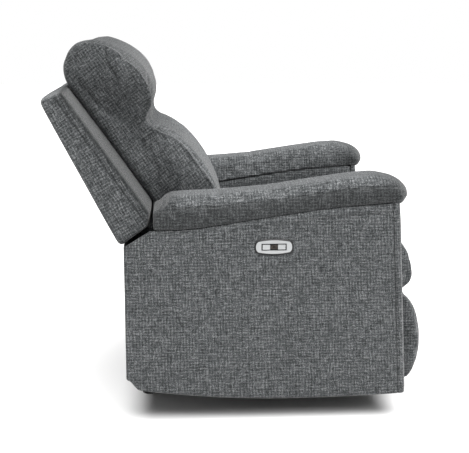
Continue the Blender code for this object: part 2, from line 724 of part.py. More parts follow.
def footrest(body):
    """A plywood board on two steel brackets, with its foam pad."""
    rear = FOOTREST_BOARD_Y
    front = rear - FOOTREST_BOARD
    bracket = [
        (rear + GAP, FOOTREST_LOW + 0.035),
        (BOARD_HEEL[0] + LINK_HALF_WIDTH, BOARD_HEEL[1] - LINK_HALF_WIDTH),
        (BOARD_PIVOT[0] + LINK_HALF_WIDTH, BOARD_PIVOT[1] + LINK_HALF_WIDTH),
        (rear + GAP, FOOTREST_HIGH - 0.035),
    ]
    holes = [bore(BOARD_PIVOT), bore(BOARD_HEEL)]
    pair("footrest_bracket", bracket, NEAR_LAYER_X, NEAR_LAYER_X + STEEL, ZINC_STEEL, body, holes)
    reach = CUSHION_HALF - 0.006
    low = (-reach, front, FOOTREST_LOW + 0.015)
    high = (reach, rear, FOOTREST_HIGH - 0.015)
    block("footrest_board", low, high, PLYWOOD, body)
    face = front - GAP
    middle = (FOOTREST_LOW + FOOTREST_HIGH) / 2 - 0.010
    pad = smooth(
        [
            (face, FOOTREST_HIGH),
            (face - 0.030, FOOTREST_HIGH - 0.006),
            (FOOTREST_FRONT_Y + 0.006, middle + 0.055),
            (FOOTREST_FRONT_Y, middle),
            (FOOTREST_FRONT_Y + 0.006, middle - 0.060),
            (face - 0.036, FOOTREST_LOW + 0.006),
            (face, FOOTREST_LOW),
        ],
        steps=2,
    )
    profile("footrest_pad", pad, -CUSHION_HALF, CUSHION_HALF, FABRIC, body, rounding=0.010)


def lean(degrees):
    """The (y, z) direction that leans this far back from upright."""
    turn = math.radians(degrees)
    return Vector((math.sin(turn), math.cos(turn)))


def back(body):
    """A leaning box of boards behind two cushions, on two steel brackets."""
    rear_up = lean(BACK_LEAN_REAR)
    low_rear, low_front = Vector(BACK_LOW_REAR), Vector(BACK_LOW_FRONT)
    top_rear = low_rear + rear_up * BACK_LENGTH
    inward = Vector((-rear_up.y, rear_up.x))
    top_front = top_rear + inward * BACK_TOP_DEPTH - rear_up * 0.004
    heel = Vector((BACK_LOW_FRONT[0] - 0.005, BACK_LOW_FRONT[1] + 0.037))
    front_length, front_up = (top_front - heel).length, (top_front - heel).normalized()
    side = [low_front, low_rear, top_rear, top_front, heel]
    inner_x = BACK_HALF_WIDTH - BACK_BOARD
    pair("back_side_board", [tuple(p) for p in side], inner_x, BACK_HALF_WIDTH, FABRIC, body, rounding=0.004)
    reach = inner_x - GAP
    under = (low_front - low_rear).normalized()
    cover = [
        low_rear,
        top_rear,
        top_rear + inward * BACK_COVER,
        low_rear + under * BACK_COVER + rear_up * 0.002,
    ]
    profile("back_rear_board", [tuple(p) for p in cover], -reach, reach, FABRIC, body)
    start = low_rear + under * (BACK_COVER + 0.004)
    up = Vector((-under.y, under.x)) * -1
    if up.y < 0:
        up = -up
    low_rail = [start, low_front - under * 0.002, low_front - under * 0.002 + up * 0.020, start + up * 0.020]
    profile("back_bottom_rail", [tuple(p) for p in low_rail], -reach, reach, PLYWOOD, body)
    cap = (top_front - top_rear).normalized()
    cap_start = top_rear + cap * (BACK_COVER + 0.0016)
    front_line = (heel - top_front).normalized()
    inside = Vector((-front_line.y, front_line.x))
    foot = top_front + front_line * ((heel - top_front).length - 0.004)
    over = [
        cap_start,
        top_front,
        foot,
        foot + inside * BACK_COVER,
        top_front + inside * BACK_COVER + front_line * 0.026,
        cap_start - rear_up * 0.020,
    ]
    profile("back_front_board", [tuple(p) for p in over], -reach, reach, FABRIC, body)
    spring_low = start + up * 0.0225 + under * 0.018
    spring_high = cap_start - rear_up * 0.0300 + cap * 0.006
    routes = []
    for index in range(4):
        x = (index - 1.5) * 0.110
        route = []
        for step in range(11):
            spot = spring_low.lerp(spring_high, step / 10)
            route.append((x + (0.022 if step % 2 else -0.022), spot.x, spot.y))
        routes.append(route)
    middle = spring_low.lerp(spring_high, 0.5)
    tie = [(-0.190, middle.x, middle.y), (0.190, middle.x, middle.y)]
    spring_set("back_springs", routes, tie, 0.0018, ZINC_STEEL, body)

    rest = heel + Vector((-0.004, 0.0))
    face = Vector((-front_up.y, front_up.x)) * 0.003
    lumbar_top = heel + front_up * front_length * LUMBAR_SHARE + face
    brow = lumbar_top + Vector((-0.205, 0.006))
    foot = Vector((0.066, SEAT_HIGH - 0.010))
    belly = []
    for share, swell in ((0.85, 0.022), (0.645, 0.045), (0.39, 0.0565), (0.19, 0.053), (0.0575, 0.032)):
        belly.append(tuple(foot.lerp(brow, share) - Vector((swell, 0))))
    lumbar = smooth(
        [
            tuple(lumbar_top),
            tuple(lumbar_top + Vector((-0.060, 0.020))),
            tuple(lumbar_top + Vector((-0.122, 0.050))),
            tuple(lumbar_top + Vector((-0.158, 0.042))),
            tuple(brow),
            *belly,
            tuple(foot),
        ],
        steps=2,
    )
    tuck_z = SEAT_HIGH - 0.018
    lumbar += [(0.215, tuck_z), (0.240, tuck_z + (rest.y - tuck_z) * 0.31), tuple(rest)]
    profile("lumbar_cushion", lumbar, -CUSHION_HALF, CUSHION_HALF, FABRIC, body, rounding=0.010)

    crown = top_rear + Vector((-0.140, 0.160))
    head_low = heel + front_up * front_length * HEAD_SHARE + face
    head_high = top_front + face
    head = smooth(
        [
            tuple(head_high),
            tuple(crown + Vector((0.101, -0.100))),
            tuple(crown + Vector((0.089, -0.055))),
            tuple(crown + Vector((0.050, -0.014))),
            tuple(crown + Vector((0.000, 0.000))),
            tuple(crown + Vector((-0.073, -0.027))),
            tuple(crown + Vector((-0.123, -0.076))),
            tuple(crown + Vector((-0.147, -0.146))),
            tuple(crown + Vector((-0.136, -0.196))),
            tuple(crown + Vector((-0.114, -0.204))),
        ],
        steps=2,
    )
    head += [tuple(head_low)]
    profile("headrest_cushion", head, -HEAD_HALF_WIDTH, HEAD_HALF_WIDTH, FABRIC, body, rounding=0.010)

    lower = [
        low_rear + Vector((-0.002, -0.0035)),
        low_rear + Vector((-0.017, 0.0070)),
        Vector((BACK_PIVOT[0] + 0.022, BACK_PIVOT[1] + 0.024)),
        Vector((BACK_PIVOT[0] + 0.037, BACK_PIVOT[1] + 0.022)),
    ]
    profile("back_lower_board", [tuple(p) for p in lower], -CUSHION_HALF, CUSHION_HALF, FABRIC, body)
    hinge = Vector(BACK_PIVOT)
    half = BACK_BRACKET_WIDTH / 2
    meet_rear = low_rear.lerp(low_front, 0.35) - up * GAP * 2
    meet_front = low_rear.lerp(low_front, 0.93) - up * GAP * 2
    bracket = [meet_rear, meet_front]
    for step in range(7):
        turn = math.pi + math.pi * step / 6
        bracket.append(hinge + Vector((half * math.cos(turn), half * math.sin(turn))))
    near = (NEAR_LAYER_X, NEAR_LAYER_X + STEEL)
    pair("back_bracket", [tuple(p) for p in bracket], *near, ZINC_STEEL, body, [bore(BACK_PIVOT)])


def build():
    rocker_base()
    chassis = pivot("rock_axis", 0.0, ROCK_Y, RAIL_HIGH + GAP + ROCKER_RADIUS)
    rocker_cams(chassis)
    arms(chassis)
    rear_skirt(chassis)
    switch(chassis)
    seat_tracks(chassis)
    axes = {}
    for name, parent, spot in (
        ("seat_slide_axis", "rock", (0.0, 0.300)),
        ("drive_slide_axis", "seat", (0.0, 0.255)),
        ("drive_link_axis", "seat", DRIVE_PIVOT),
        ("idler_link_axis", "seat", IDLER_PIVOT),
        ("reach_link_axis", "drive", KNEE),
        ("control_link_axis", "drive", HEEL),
        ("footrest_axis", "reach", BOARD_PIVOT),
        ("back_recline_axis", "seat", BACK_PIVOT),
    ):
        axes[name] = pivot(name, 0.0, *spot)
        holder = {
            "rock": chassis,
            "seat": axes.get("seat_slide_axis"),
            "drive": axes.get("drive_link_axis"),
            "reach": axes.get("reach_link_axis"),
        }[parent]
        axes[name].parent = holder
        axes[name].matrix_parent_inverse = Matrix.Translation(holder.location).inverted()
    seat_carriage(axes["seat_slide_axis"])
    drive(axes["seat_slide_axis"], axes["drive_slide_axis"])
    linkage(
        axes["drive_link_axis"],
        axes["idler_link_axis"],
        axes["reach_link_axis"],
        axes["control_link_axis"],
        axes["footrest_axis"],
    )
    footrest(axes["footrest_axis"])
    back(axes["back_recline_axis"])


build()
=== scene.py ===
"""Power rocker recliner armchair: its looks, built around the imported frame."""

import math

import bmesh
import bpy
import numpy as np
from mathutils import Matrix, Vector


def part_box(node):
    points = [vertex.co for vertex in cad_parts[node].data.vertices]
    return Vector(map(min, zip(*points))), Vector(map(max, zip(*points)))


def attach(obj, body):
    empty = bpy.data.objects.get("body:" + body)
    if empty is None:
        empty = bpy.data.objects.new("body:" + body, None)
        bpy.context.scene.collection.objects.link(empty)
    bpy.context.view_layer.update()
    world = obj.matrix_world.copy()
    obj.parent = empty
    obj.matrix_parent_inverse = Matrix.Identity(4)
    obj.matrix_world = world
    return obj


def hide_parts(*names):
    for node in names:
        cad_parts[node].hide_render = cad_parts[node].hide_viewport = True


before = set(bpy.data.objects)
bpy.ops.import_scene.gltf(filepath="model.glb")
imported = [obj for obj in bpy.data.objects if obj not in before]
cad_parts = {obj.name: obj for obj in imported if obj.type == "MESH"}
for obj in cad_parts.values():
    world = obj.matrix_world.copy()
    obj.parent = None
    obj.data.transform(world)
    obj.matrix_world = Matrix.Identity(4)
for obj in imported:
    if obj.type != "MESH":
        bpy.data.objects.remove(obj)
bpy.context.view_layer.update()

# The studio: a pale seamless floor that runs out of sight, a large soft box over the front of the
# chair, a fill beside the camera, and a white sky.
scene = bpy.context.scene
scene.view_settings.view_transform = "Standard"

camera_place = Vector((-3.03, 0.1696, 1.0887))
camera_pitch = math.radians(11.74)
camera_yaw = math.radians(3.171)
ahead = Vector(
    (
        math.cos(camera_pitch) * math.cos(camera_yaw),
        -math.cos(camera_pitch) * math.sin(camera_yaw),
        -math.sin(camera_pitch),
    )
)
rightward = Vector((-math.sin(camera_yaw), -math.cos(camera_yaw), 0))
upward = rightward.cross(ahead)
lens = bpy.data.cameras.new("camera")
lens.lens = 76.64
lens.sensor_width = 36.0
camera = bpy.data.objects.new("camera", lens)
camera_turn = Matrix((rightward, upward, -ahead)).transposed().to_4x4()
camera.matrix_world = Matrix.Translation(camera_place) @ camera_turn
scene.collection.objects.link(camera)
scene.camera = camera


def nodes_in(material):
    """Returns a function that adds a node of a kind, with its properties, to the material or group."""
    tree = material.node_tree if isinstance(material, bpy.types.Material) else material

    def add(kind, **settings):
        node = tree.nodes.new(f"ShaderNode{kind}")
        for key, value in settings.items():
            if hasattr(node, key):
                setattr(node, key, value)
            else:
                node.inputs[key.replace("_", " ")].default_value = value
        return node

    return tree, add


def wire(tree, *pairs):
    """Links each output to its input, in pairs."""
    for source, target in pairs:
        tree.links.new(source, target)


def new_material(name):
    """An empty node material with a Principled shader on its output."""
    made = bpy.data.materials.new(name)
    made.use_nodes = True
    return made, made.node_tree.nodes["Principled BSDF"]


def clothe(obj, *materials):
    """Gives the object these materials in place of its own."""
    obj.data.materials.clear()
    for material in materials:
        obj.data.materials.append(material)


def build_object(name, mesh):
    """An object in the scene made of a bmesh, which is used up."""
    data = bpy.data.meshes.new(name)
    mesh.to_mesh(data)
    mesh.free()
    for polygon in data.polygons:
        polygon.use_smooth = True
    made = bpy.data.objects.new(name, data)
    scene.collection.objects.link(made)
    return made


floor_mesh = bmesh.new()
bmesh.ops.create_grid(floor_mesh, x_segments=24, y_segments=24, size=14.0)
floor = build_object("studio_floor", floor_mesh)
floor_finish, floor_shader = new_material("studio_paint")
tree, add = nodes_in(floor_finish)
place = add("TexCoord")
mottle = add("TexNoise", Scale=3.0, Detail=3.0)
tint = add("ValToRGB")
tint.color_ramp.elements[0].color = (0.66, 0.655, 0.65, 1)
tint.color_ramp.elements[1].color = (0.70, 0.70, 0.70, 1)
# Painted light: the floor glows for the camera's rays only, which lightens its shadows, except over a box
# under the chair, where the glow fades out.
seen = add("LightPath")
spot = add("Mapping", vector_type="TEXTURE")
spot.inputs["Location"].default_value = (0.0, -0.06, 0.0)
spot.inputs["Scale"].default_value = (0.42, 0.38, 1.0)
away = add("SeparateXYZ")
side_away = add("Math", operation="ABSOLUTE")
front_away = add("Math", operation="ABSOLUTE")
furthest = add("Math", operation="SMOOTH_MAX")
furthest.inputs[2].default_value = 0.2
clear = add("MapRange", interpolation_type="SMOOTHSTEP")
clear.inputs["From Min"].default_value, clear.inputs["From Max"].default_value = 0.80, 1.10
camera_only_floor_glow = add("Math", operation="MULTIPLY")
wire(
    tree,
    (place.outputs["Object"], spot.inputs["Vector"]),
    (spot.outputs["Vector"], away.inputs["Vector"]),
    (away.outputs["X"], side_away.inputs[0]),
    (away.outputs["Y"], front_away.inputs[0]),
    (side_away.outputs["Value"], furthest.inputs[0]),
    (front_away.outputs["Value"], furthest.inputs[1]),
    (furthest.outputs["Value"], clear.inputs["Value"]),
    (clear.outputs["Result"], camera_only_floor_glow.inputs[0]),
    (seen.outputs["Is Camera Ray"], camera_only_floor_glow.inputs[1]),
    (camera_only_floor_glow.outputs["Value"], floor_shader.inputs["Emission Strength"]),
    (place.outputs["Object"], mottle.inputs["Vector"]),
    (mottle.outputs["Fac"], tint.inputs["Fac"]),
    (tint.outputs["Color"], floor_shader.inputs["Base Color"]),
)
floor_shader.inputs["Roughness"].default_value = 0.85
floor_shader.inputs["Specular IOR Level"].default_value = 0.1
floor_shader.inputs["Emission Color"].default_value = (0.42, 0.42, 0.42, 1)
clothe(floor, floor_finish)


def soft_light(name, heading, spread, strength):
    """A broad, even light that shines along the heading, as a bank of soft boxes does."""
    light = bpy.data.lights.new(name, "SUN")
    light.angle = math.radians(spread)
    light.energy = strength
    made = bpy.data.objects.new(name, light)
    made.rotation_euler = Vector(heading).to_track_quat("-Z", "Y").to_euler()
    scene.collection.objects.link(made)


soft_light("overhead_bank", (0.07, 0.14, -1.0), 76, 6.8)
soft_light("front_bank", (0.9, 0.8, -0.55), 50, 0.5)
sky = bpy.data.worlds.new("studio_sky")
sky.use_nodes = True
tree = sky.node_tree
rays = tree.nodes.new("ShaderNodeLightPath")
level = tree.nodes.new("ShaderNodeMapRange")
level.inputs["To Min"].default_value, level.inputs["To Max"].default_value = 0.21, 1.0
tree.nodes["Background"].inputs["Color"].default_value = (1, 1, 1, 1)
wire(
    tree,
    (rays.outputs["Is Camera Ray"], level.inputs["Value"]),
    (level.outputs["Result"], tree.nodes["Background"].inputs["Strength"]),
)
scene.world = sky

# Metal, board and plastic of the works: powder-coated and zinc-plated steel stampings, birch
# plywood, and textured black mouldings. Each reads the same wear: dust that has settled and
# faint rubbing, over its own base.
wear = bpy.data.node_groups.new("wear", "ShaderNodeTree")
for label, way, kind in (
    ("Vector", "INPUT", "Vector"),
    ("Base", "INPUT", "Color"),
    ("Rubbed", "INPUT", "Color"),
    ("Grain", "INPUT", "Float"),
    ("Roughness", "INPUT", "Float"),
    ("Amount", "INPUT", "Float"),
    ("Color", "OUTPUT", "Color"),
    ("Roughness", "OUTPUT", "Float"),
    ("Height", "OUTPUT", "Float"),
):
    wear.interface.new_socket(label, in_out=way, socket_type=f"NodeSocket{kind}")
tree, add = nodes_in(wear)
given, result = tree.nodes.new("NodeGroupInput"), tree.nodes.new("NodeGroupOutput")
broad = add("TexNoise", Scale=9.0, Detail=4.0, Roughness=0.6)
fine = add("TexNoise", Detail=2.0)
rub = add("TexNoise", Scale=34.0, Detail=5.0, Roughness=0.7)
mask = add("MapRange")
mask.inputs["From Min"].default_value, mask.inputs["From Max"].default_value = 0.56, 0.72
share = add("Math", operation="MULTIPLY")
blend = add("Mix", data_type="RGBA")
shade = add("MapRange")
shade.inputs["To Min"].default_value, shade.inputs["To Max"].default_value = 0.80, 1.18
toned = add("Mix", data_type="RGBA", blend_type="MULTIPLY")
toned.inputs["Factor"].default_value = 1.0
gloss = add("MapRange")
gloss.inputs["To Min"].default_value, gloss.inputs["To Max"].default_value = -0.10, 0.12
rough = add("Math", operation="ADD", use_clamp=True)
wire(
    tree,
    (given.outputs["Vector"], broad.inputs["Vector"]),
    (given.outputs["Vector"], fine.inputs["Vector"]),
    (given.outputs["Vector"], rub.inputs["Vector"]),
    (given.outputs["Grain"], fine.inputs["Scale"]),
    (rub.outputs["Fac"], mask.inputs["Value"]),
    (mask.outputs["Result"], share.inputs[0]),
    (given.outputs["Amount"], share.inputs[1]),
    (share.outputs["Value"], blend.inputs["Factor"]),
    (given.outputs["Base"], blend.inputs["A"]),
    (given.outputs["Rubbed"], blend.inputs["B"]),
    (broad.outputs["Fac"], shade.inputs["Value"]),
    (blend.outputs["Result"], toned.inputs["A"]),
    (shade.outputs["Result"], toned.inputs["B"]),
    (toned.outputs["Result"], result.inputs["Color"]),
    (broad.outputs["Fac"], gloss.inputs["Value"]),
    (gloss.outputs["Result"], rough.inputs[0]),
    (given.outputs["Roughness"], rough.inputs[1]),
    (rough.outputs["Value"], result.inputs["Roughness"]),
    (fine.outputs["Fac"], result.inputs["Height"]),
)


def hard_finish(name, base, rubbed, roughness, grain, relief, metallic, amount):
    """A hard surface with the shared wear, and a fine grain in relief."""
    made, shader = new_material(name)
    tree, add = nodes_in(made)
    place = add("TexCoord")
    worn = add("Group")
    worn.node_tree = wear
    worn.inputs["Base"].default_value = (*base, 1)
    worn.inputs["Rubbed"].default_value = (*rubbed, 1)
    worn.inputs["Grain"].default_value = grain
    worn.inputs["Roughness"].default_value = roughness
    worn.inputs["Amount"].default_value = amount
    bump = add("Bump", Strength=0.5, Distance=relief)
    wire(
        tree,
        (place.outputs["Object"], worn.inputs["Vector"]),
        (worn.outputs["Color"], shader.inputs["Base Color"]),
        (worn.outputs["Roughness"], shader.inputs["Roughness"]),
        (worn.outputs["Height"], bump.inputs["Height"]),
        (bump.outputs["Normal"], shader.inputs["Normal"]),
    )
    shader.inputs["Metallic"].default_value = metallic
    return made


COAT, COAT_RUBBED = (0.016, 0.016, 0.018), (0.075, 0.075, 0.078)
ZINC, ZINC_RUBBED = (0.50, 0.51, 0.53), (0.33, 0.34, 0.35)
MOULDED, MOULDED_RUBBED = (0.014, 0.014, 0.015), (0.04, 0.04, 0.042)
black_coat = hard_finish("black_powder_coat", COAT, COAT_RUBBED, 0.46, 900, 0.0002, 0.0, 0.4)
zinc_plate = hard_finish("zinc_plate", ZINC, ZINC_RUBBED, 0.36, 420, 0.0001, 0.9, 0.7)
moulded_black = hard_finish("moulded_black", MOULDED, MOULDED_RUBBED, 0.52, 1400, 0.0002, 0.0, 0.3)

birch_board, shader = new_material("birch_board")
tree, add = nodes_in(birch_board)
place = add("TexCoord")
stretch = add("Mapping")
stretch.inputs["Scale"].default_value = (3.0, 26.0, 26.0)
grain = add("TexNoise", Scale=4.0, Detail=6.0, Roughness=0.62, Distortion=0.6)
ply = add("TexWave", wave_type="BANDS", bands_direction="Z", Scale=130.0, Distortion=0.4)
wood = add("ValToRGB")
wood.color_ramp.elements[0].position, wood.color_ramp.elements[0].color = 0.32, (0.36, 0.22, 0.11, 1)
wood.color_ramp.elements[1].position, wood.color_ramp.elements[1].color = 0.70, (0.66, 0.49, 0.30, 1)
layers = add("MapRange")
layers.inputs["To Min"].default_value, layers.inputs["To Max"].default_value = 0.82, 1.06
laid = add("Mix", data_type="RGBA", blend_type="MULTIPLY")
laid.inputs["Factor"].default_value = 1.0
bump = add("Bump", Strength=0.4, Distance=0.0006)
wire(
    tree,
    (place.outputs["Object"], stretch.inputs["Vector"]),
    (stretch.outputs["Vector"], grain.inputs["Vector"]),
    (place.outputs["Object"], ply.inputs["Vector"]),
    (grain.outputs["Fac"], wood.inputs["Fac"]),
    (ply.outputs["Fac"], layers.inputs["Value"]),
    (wood.outputs["Color"], laid.inputs["A"]),
    (layers.outputs["Result"], laid.inputs["B"]),
    (laid.outputs["Result"], shader.inputs["Base Color"]),
    (grain.outputs["Fac"], bump.inputs["Height"]),
    (bump.outputs["Normal"], shader.inputs["Normal"]),
)
shader.inputs["Roughness"].default_value = 0.62

for side in ("right", "left"):
    for piece, finish in (
        ("foot_glide_front", moulded_black),
        ("foot_glide_rear", moulded_black),
        ("rocker_cam", black_coat),
        ("seat_track", zinc_plate),
        ("seat_plate", black_coat),
        ("drive_link", zinc_plate),
        ("idler_link", zinc_plate),
        ("reach_link", zinc_plate),
        ("control_link", zinc_plate),
        ("footrest_bracket", zinc_plate),
        ("back_bracket", zinc_plate),
    ):
        clothe(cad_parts[f"{piece}_{side}"], finish)
for piece, finish in (
    ("base_frame", black_coat),
    ("chassis_tube_front", black_coat),
    ("chassis_tube_rear", black_coat),
    ("seat_springs", zinc_plate),
    ("drive_rail", zinc_plate),
    ("drive_motor", moulded_black),
    ("drive_block", moulded_black),
    ("torque_tube", black_coat),
    ("back_bottom_rail", birch_board),
    ("back_springs", zinc_plate),
    ("power_inlet", moulded_black),
    ("switch_housing", moulded_black),
):
    clothe(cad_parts[piece], finish)

# The cover: a chenille tweed of thick slubbed yarns, light and dark slate twisted together, in a
# plain weave. Its weft shows as short level dashes and its warp as short upright ones.
weave = bpy.data.node_groups.new("chenille_weave", "ShaderNodeTree")
for label, way, kind in (
    ("Cloth", "INPUT", "Vector"),
    ("Dark", "INPUT", "Color"),
    ("Middle", "INPUT", "Color"),
    ("Light", "INPUT", "Color"),
    ("Color", "OUTPUT", "Color"),
    ("Roughness", "OUTPUT", "Float"),
    ("Height", "OUTPUT", "Float"),
):
    weave.interface.new_socket(label, in_out=way, socket_type=f"NodeSocket{kind}")
tree, add = nodes_in(weave)
given, result = tree.nodes.new("NodeGroupInput"), tree.nodes.new("NodeGroupOutput")
YARN = 0.0028
SLUB = 0.022


def sums(tree, operation, *values):
    """A Math node of this operation on values that are numbers or other nodes' outputs."""
    node = tree.nodes.new("ShaderNodeMath")
    node.operation = operation
    for socket, value in zip(node.inputs, values):
        if isinstance(value, (int, float)):
            socket.default_value = value
        else:
            tree.links.new(value, socket)
    return node.outputs["Value"]


sway = add("TexNoise", Scale=28.0, Detail=1.0, noise_dimensions="2D")
centred = add("VectorMath", operation="SUBTRACT")
centred.inputs[1].default_value = (0.5, 0.5, 0.5)
drift = add("VectorMath", operation="SCALE")
drift.inputs["Scale"].default_value = 0.0045
swayed = add("VectorMath", operation="ADD")
parts = add("SeparateXYZ")
wire(
    tree,
    (given.outputs["Cloth"], sway.inputs["Vector"]),
    (sway.outputs["Color"], centred.inputs[0]),
    (centred.outputs["Vector"], drift.inputs[0]),
    (given.outputs["Cloth"], swayed.inputs[0]),
    (drift.outputs["Vector"], swayed.inputs[1]),
    (swayed.outputs["Vector"], parts.inputs["Vector"]),
)


def yarns(along_it, across_it, seed):
    """The shade of one set of yarns: steady across each yarn, and slubbed along it."""
    row = sums(tree, "FLOOR", sums(tree, "DIVIDE", across_it, YARN))
    lie = add("CombineXYZ")
    wire(
        tree,
        (sums(tree, "DIVIDE", along_it, SLUB), lie.inputs["X"]),
        (sums(tree, "MULTIPLY_ADD", row, 7.317, seed), lie.inputs["Y"]),
    )
    slub = add("TexNoise", Scale=1.0, Detail=2.0, Roughness=0.65, noise_dimensions="2D")
    wire(tree, (lie.outputs["Vector"], slub.inputs["Vector"]))
    dark_third = sums(tree, "COSINE", sums(tree, "MULTIPLY", across_it, 2 * math.pi / (3 * YARN)))
    thickness = sums(tree, "MULTIPLY", slub.outputs["Fac"], 0.72)
    return row, sums(tree, "ADD", thickness, sums(tree, "MULTIPLY", dark_third, 0.065))


weft_row, weft = yarns(parts.outputs["X"], parts.outputs["Y"], 0.0)
warp_row, warp = yarns(parts.outputs["Y"], parts.outputs["X"], 311.7)
over = sums(tree, "PINGPONG", sums(tree, "ADD", weft_row, warp_row), 1.0)
both = sums(tree, "ADD", weft, warp)
picked = add("Mix", data_type="FLOAT")
nub = add("TexNoise", Scale=350.0, Detail=2.0, Roughness=0.7)
fuzz = add("TexNoise", Scale=1300.0, Detail=2.0)
patch = add("TexNoise", Scale=16.0, Detail=2.0)
nubs = sums(tree, "MULTIPLY", nub.outputs["Fac"], 1.8)
grain = sums(tree, "ADD", nubs, sums(tree, "MULTIPLY", patch.outputs["Fac"], 0.12))
on_top = sums(tree, "MULTIPLY_ADD", picked.outputs["Result"], 0.3, -1.34)
total = sums(tree, "ADD", sums(tree, "ADD", both, grain), on_top)
light_share = add("MapRange")
light_share.inputs["From Min"].default_value, light_share.inputs["From Max"].default_value = 0.50, 0.90
dark_share = add("MapRange")
dark_share.inputs["From Min"].default_value, dark_share.inputs["From Max"].default_value = 0.50, 0.10
lighter = add("Mix", data_type="RGBA")
darker = add("Mix", data_type="RGBA")
crest_u = sums(tree, "SINE", sums(tree, "MULTIPLY", parts.outputs["X"], math.pi / YARN))
crest_v = sums(tree, "SINE", sums(tree, "MULTIPLY", parts.outputs["Y"], math.pi / YARN))
crest = sums(tree, "ABSOLUTE", sums(tree, "MULTIPLY", crest_u, crest_v))
loft = sums(tree, "ADD", crest, sums(tree, "MULTIPLY", fuzz.outputs["Fac"], 0.8))
height = sums(tree, "ADD", loft, sums(tree, "MULTIPLY", total, 1.1))
wire(
    tree,
    (over, picked.inputs["Factor"]),
    (weft, picked.inputs["A"]),
    (warp, picked.inputs["B"]),
    (given.outputs["Cloth"], nub.inputs["Vector"]),
    (given.outputs["Cloth"], fuzz.inputs["Vector"]),
    (given.outputs["Cloth"], patch.inputs["Vector"]),
    (total, light_share.inputs["Value"]),
    (total, dark_share.inputs["Value"]),
    (light_share.outputs["Result"], lighter.inputs["Factor"]),
    (given.outputs["Middle"], lighter.inputs["A"]),
    (given.outputs["Light"], lighter.inputs["B"]),
    (dark_share.outputs["Result"], darker.inputs["Factor"]),
    (lighter.outputs["Result"], darker.inputs["A"]),
    (given.outputs["Dark"], darker.inputs["B"]),
    (darker.outputs["Result"], result.inputs["Color"]),
    (sums(tree, "MULTIPLY_ADD", total, -0.1, 0.97), result.inputs["Roughness"]),
    (height, result.inputs["Height"]),
)

chenille, shader = new_material("slate_chenille")
tree, add = nodes_in(chenille)
lie = add("UVMap", uv_map="cloth")
# The "seam" attribute darkens the colour towards near black: painted shade in the stitched grooves and on
# sides and ends turned from the light.
seam_and_shade_paint = add("Attribute", attribute_name="seam")
shaded = add("Mix", data_type="RGBA")
shaded.inputs["B"].default_value = (0.012, 0.013, 0.013, 1)
woven = add("Group")
woven.node_tree = weave
woven.inputs["Dark"].default_value = (0.024, 0.026, 0.027, 1)
woven.inputs["Middle"].default_value = (0.084, 0.089, 0.092, 1)
woven.inputs["Light"].default_value = (0.235, 0.242, 0.246, 1)
bump = add("Bump", Strength=0.5, Distance=0.0010)
wire(
    tree,
    (lie.outputs["UV"], woven.inputs["Cloth"]),
    (woven.outputs["Color"], shaded.inputs["A"]),
    (seam_and_shade_paint.outputs["Fac"], shaded.inputs["Factor"]),
    (shaded.outputs["Result"], shader.inputs["Base Color"]),
    (woven.outputs["Roughness"], shader.inputs["Roughness"]),
    (woven.outputs["Height"], bump.inputs["Height"]),
    (bump.outputs["Normal"], shader.inputs["Normal"]),
)
shader.inputs["Specular IOR Level"].default_value = 0.15
shader.inputs["Sheen Weight"].default_value = 0.26
shader.inputs["Sheen Roughness"].default_value = 0.45


# Outside of each arm: one padded panel over the plywood box. The cover is pulled round the front
# and rear corners, sewn down behind the front roll, and folded under the bowed bottom edge.
def ridge_at(distance, width):
    """1 on a line and 0 away from it, for distances from the line."""
    return np.exp(-((distance / width) ** 2))


def step_up(low, high, value):
    """0 below low, 1 above high, and a smooth rise between them."""
    share = np.clip((value - low) / (high - low), 0, 1)
    return share * share * (3 - 2 * share)


def span_at(node, y):
    """The lowest and highest z where the node's shape crosses each y."""
    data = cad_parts[node].data
    co = np.array([v.co for v in data.vertices])
    ends = np.array([e.vertices for e in data.edges])
    a, b = co[ends[:, 0]], co[ends[:, 1]]
    found = []
    for value in y:
        crossing = (a[:, 1] - value) * (b[:, 1] - value) <= 0
        p, q = a[crossing], b[crossing]
        width = q[:, 1] - p[:, 1]
        safe = np.where(np.abs(width) < 1e-9, 1.0, width)
        t = np.where(np.abs(width) < 1e-9, 0.0, (value - p[:, 1]) / safe)
        z = p[:, 2] + (q[:, 2] - p[:, 2]) * t
        found.append((z.min(), z.max()))
    return np.array(found)


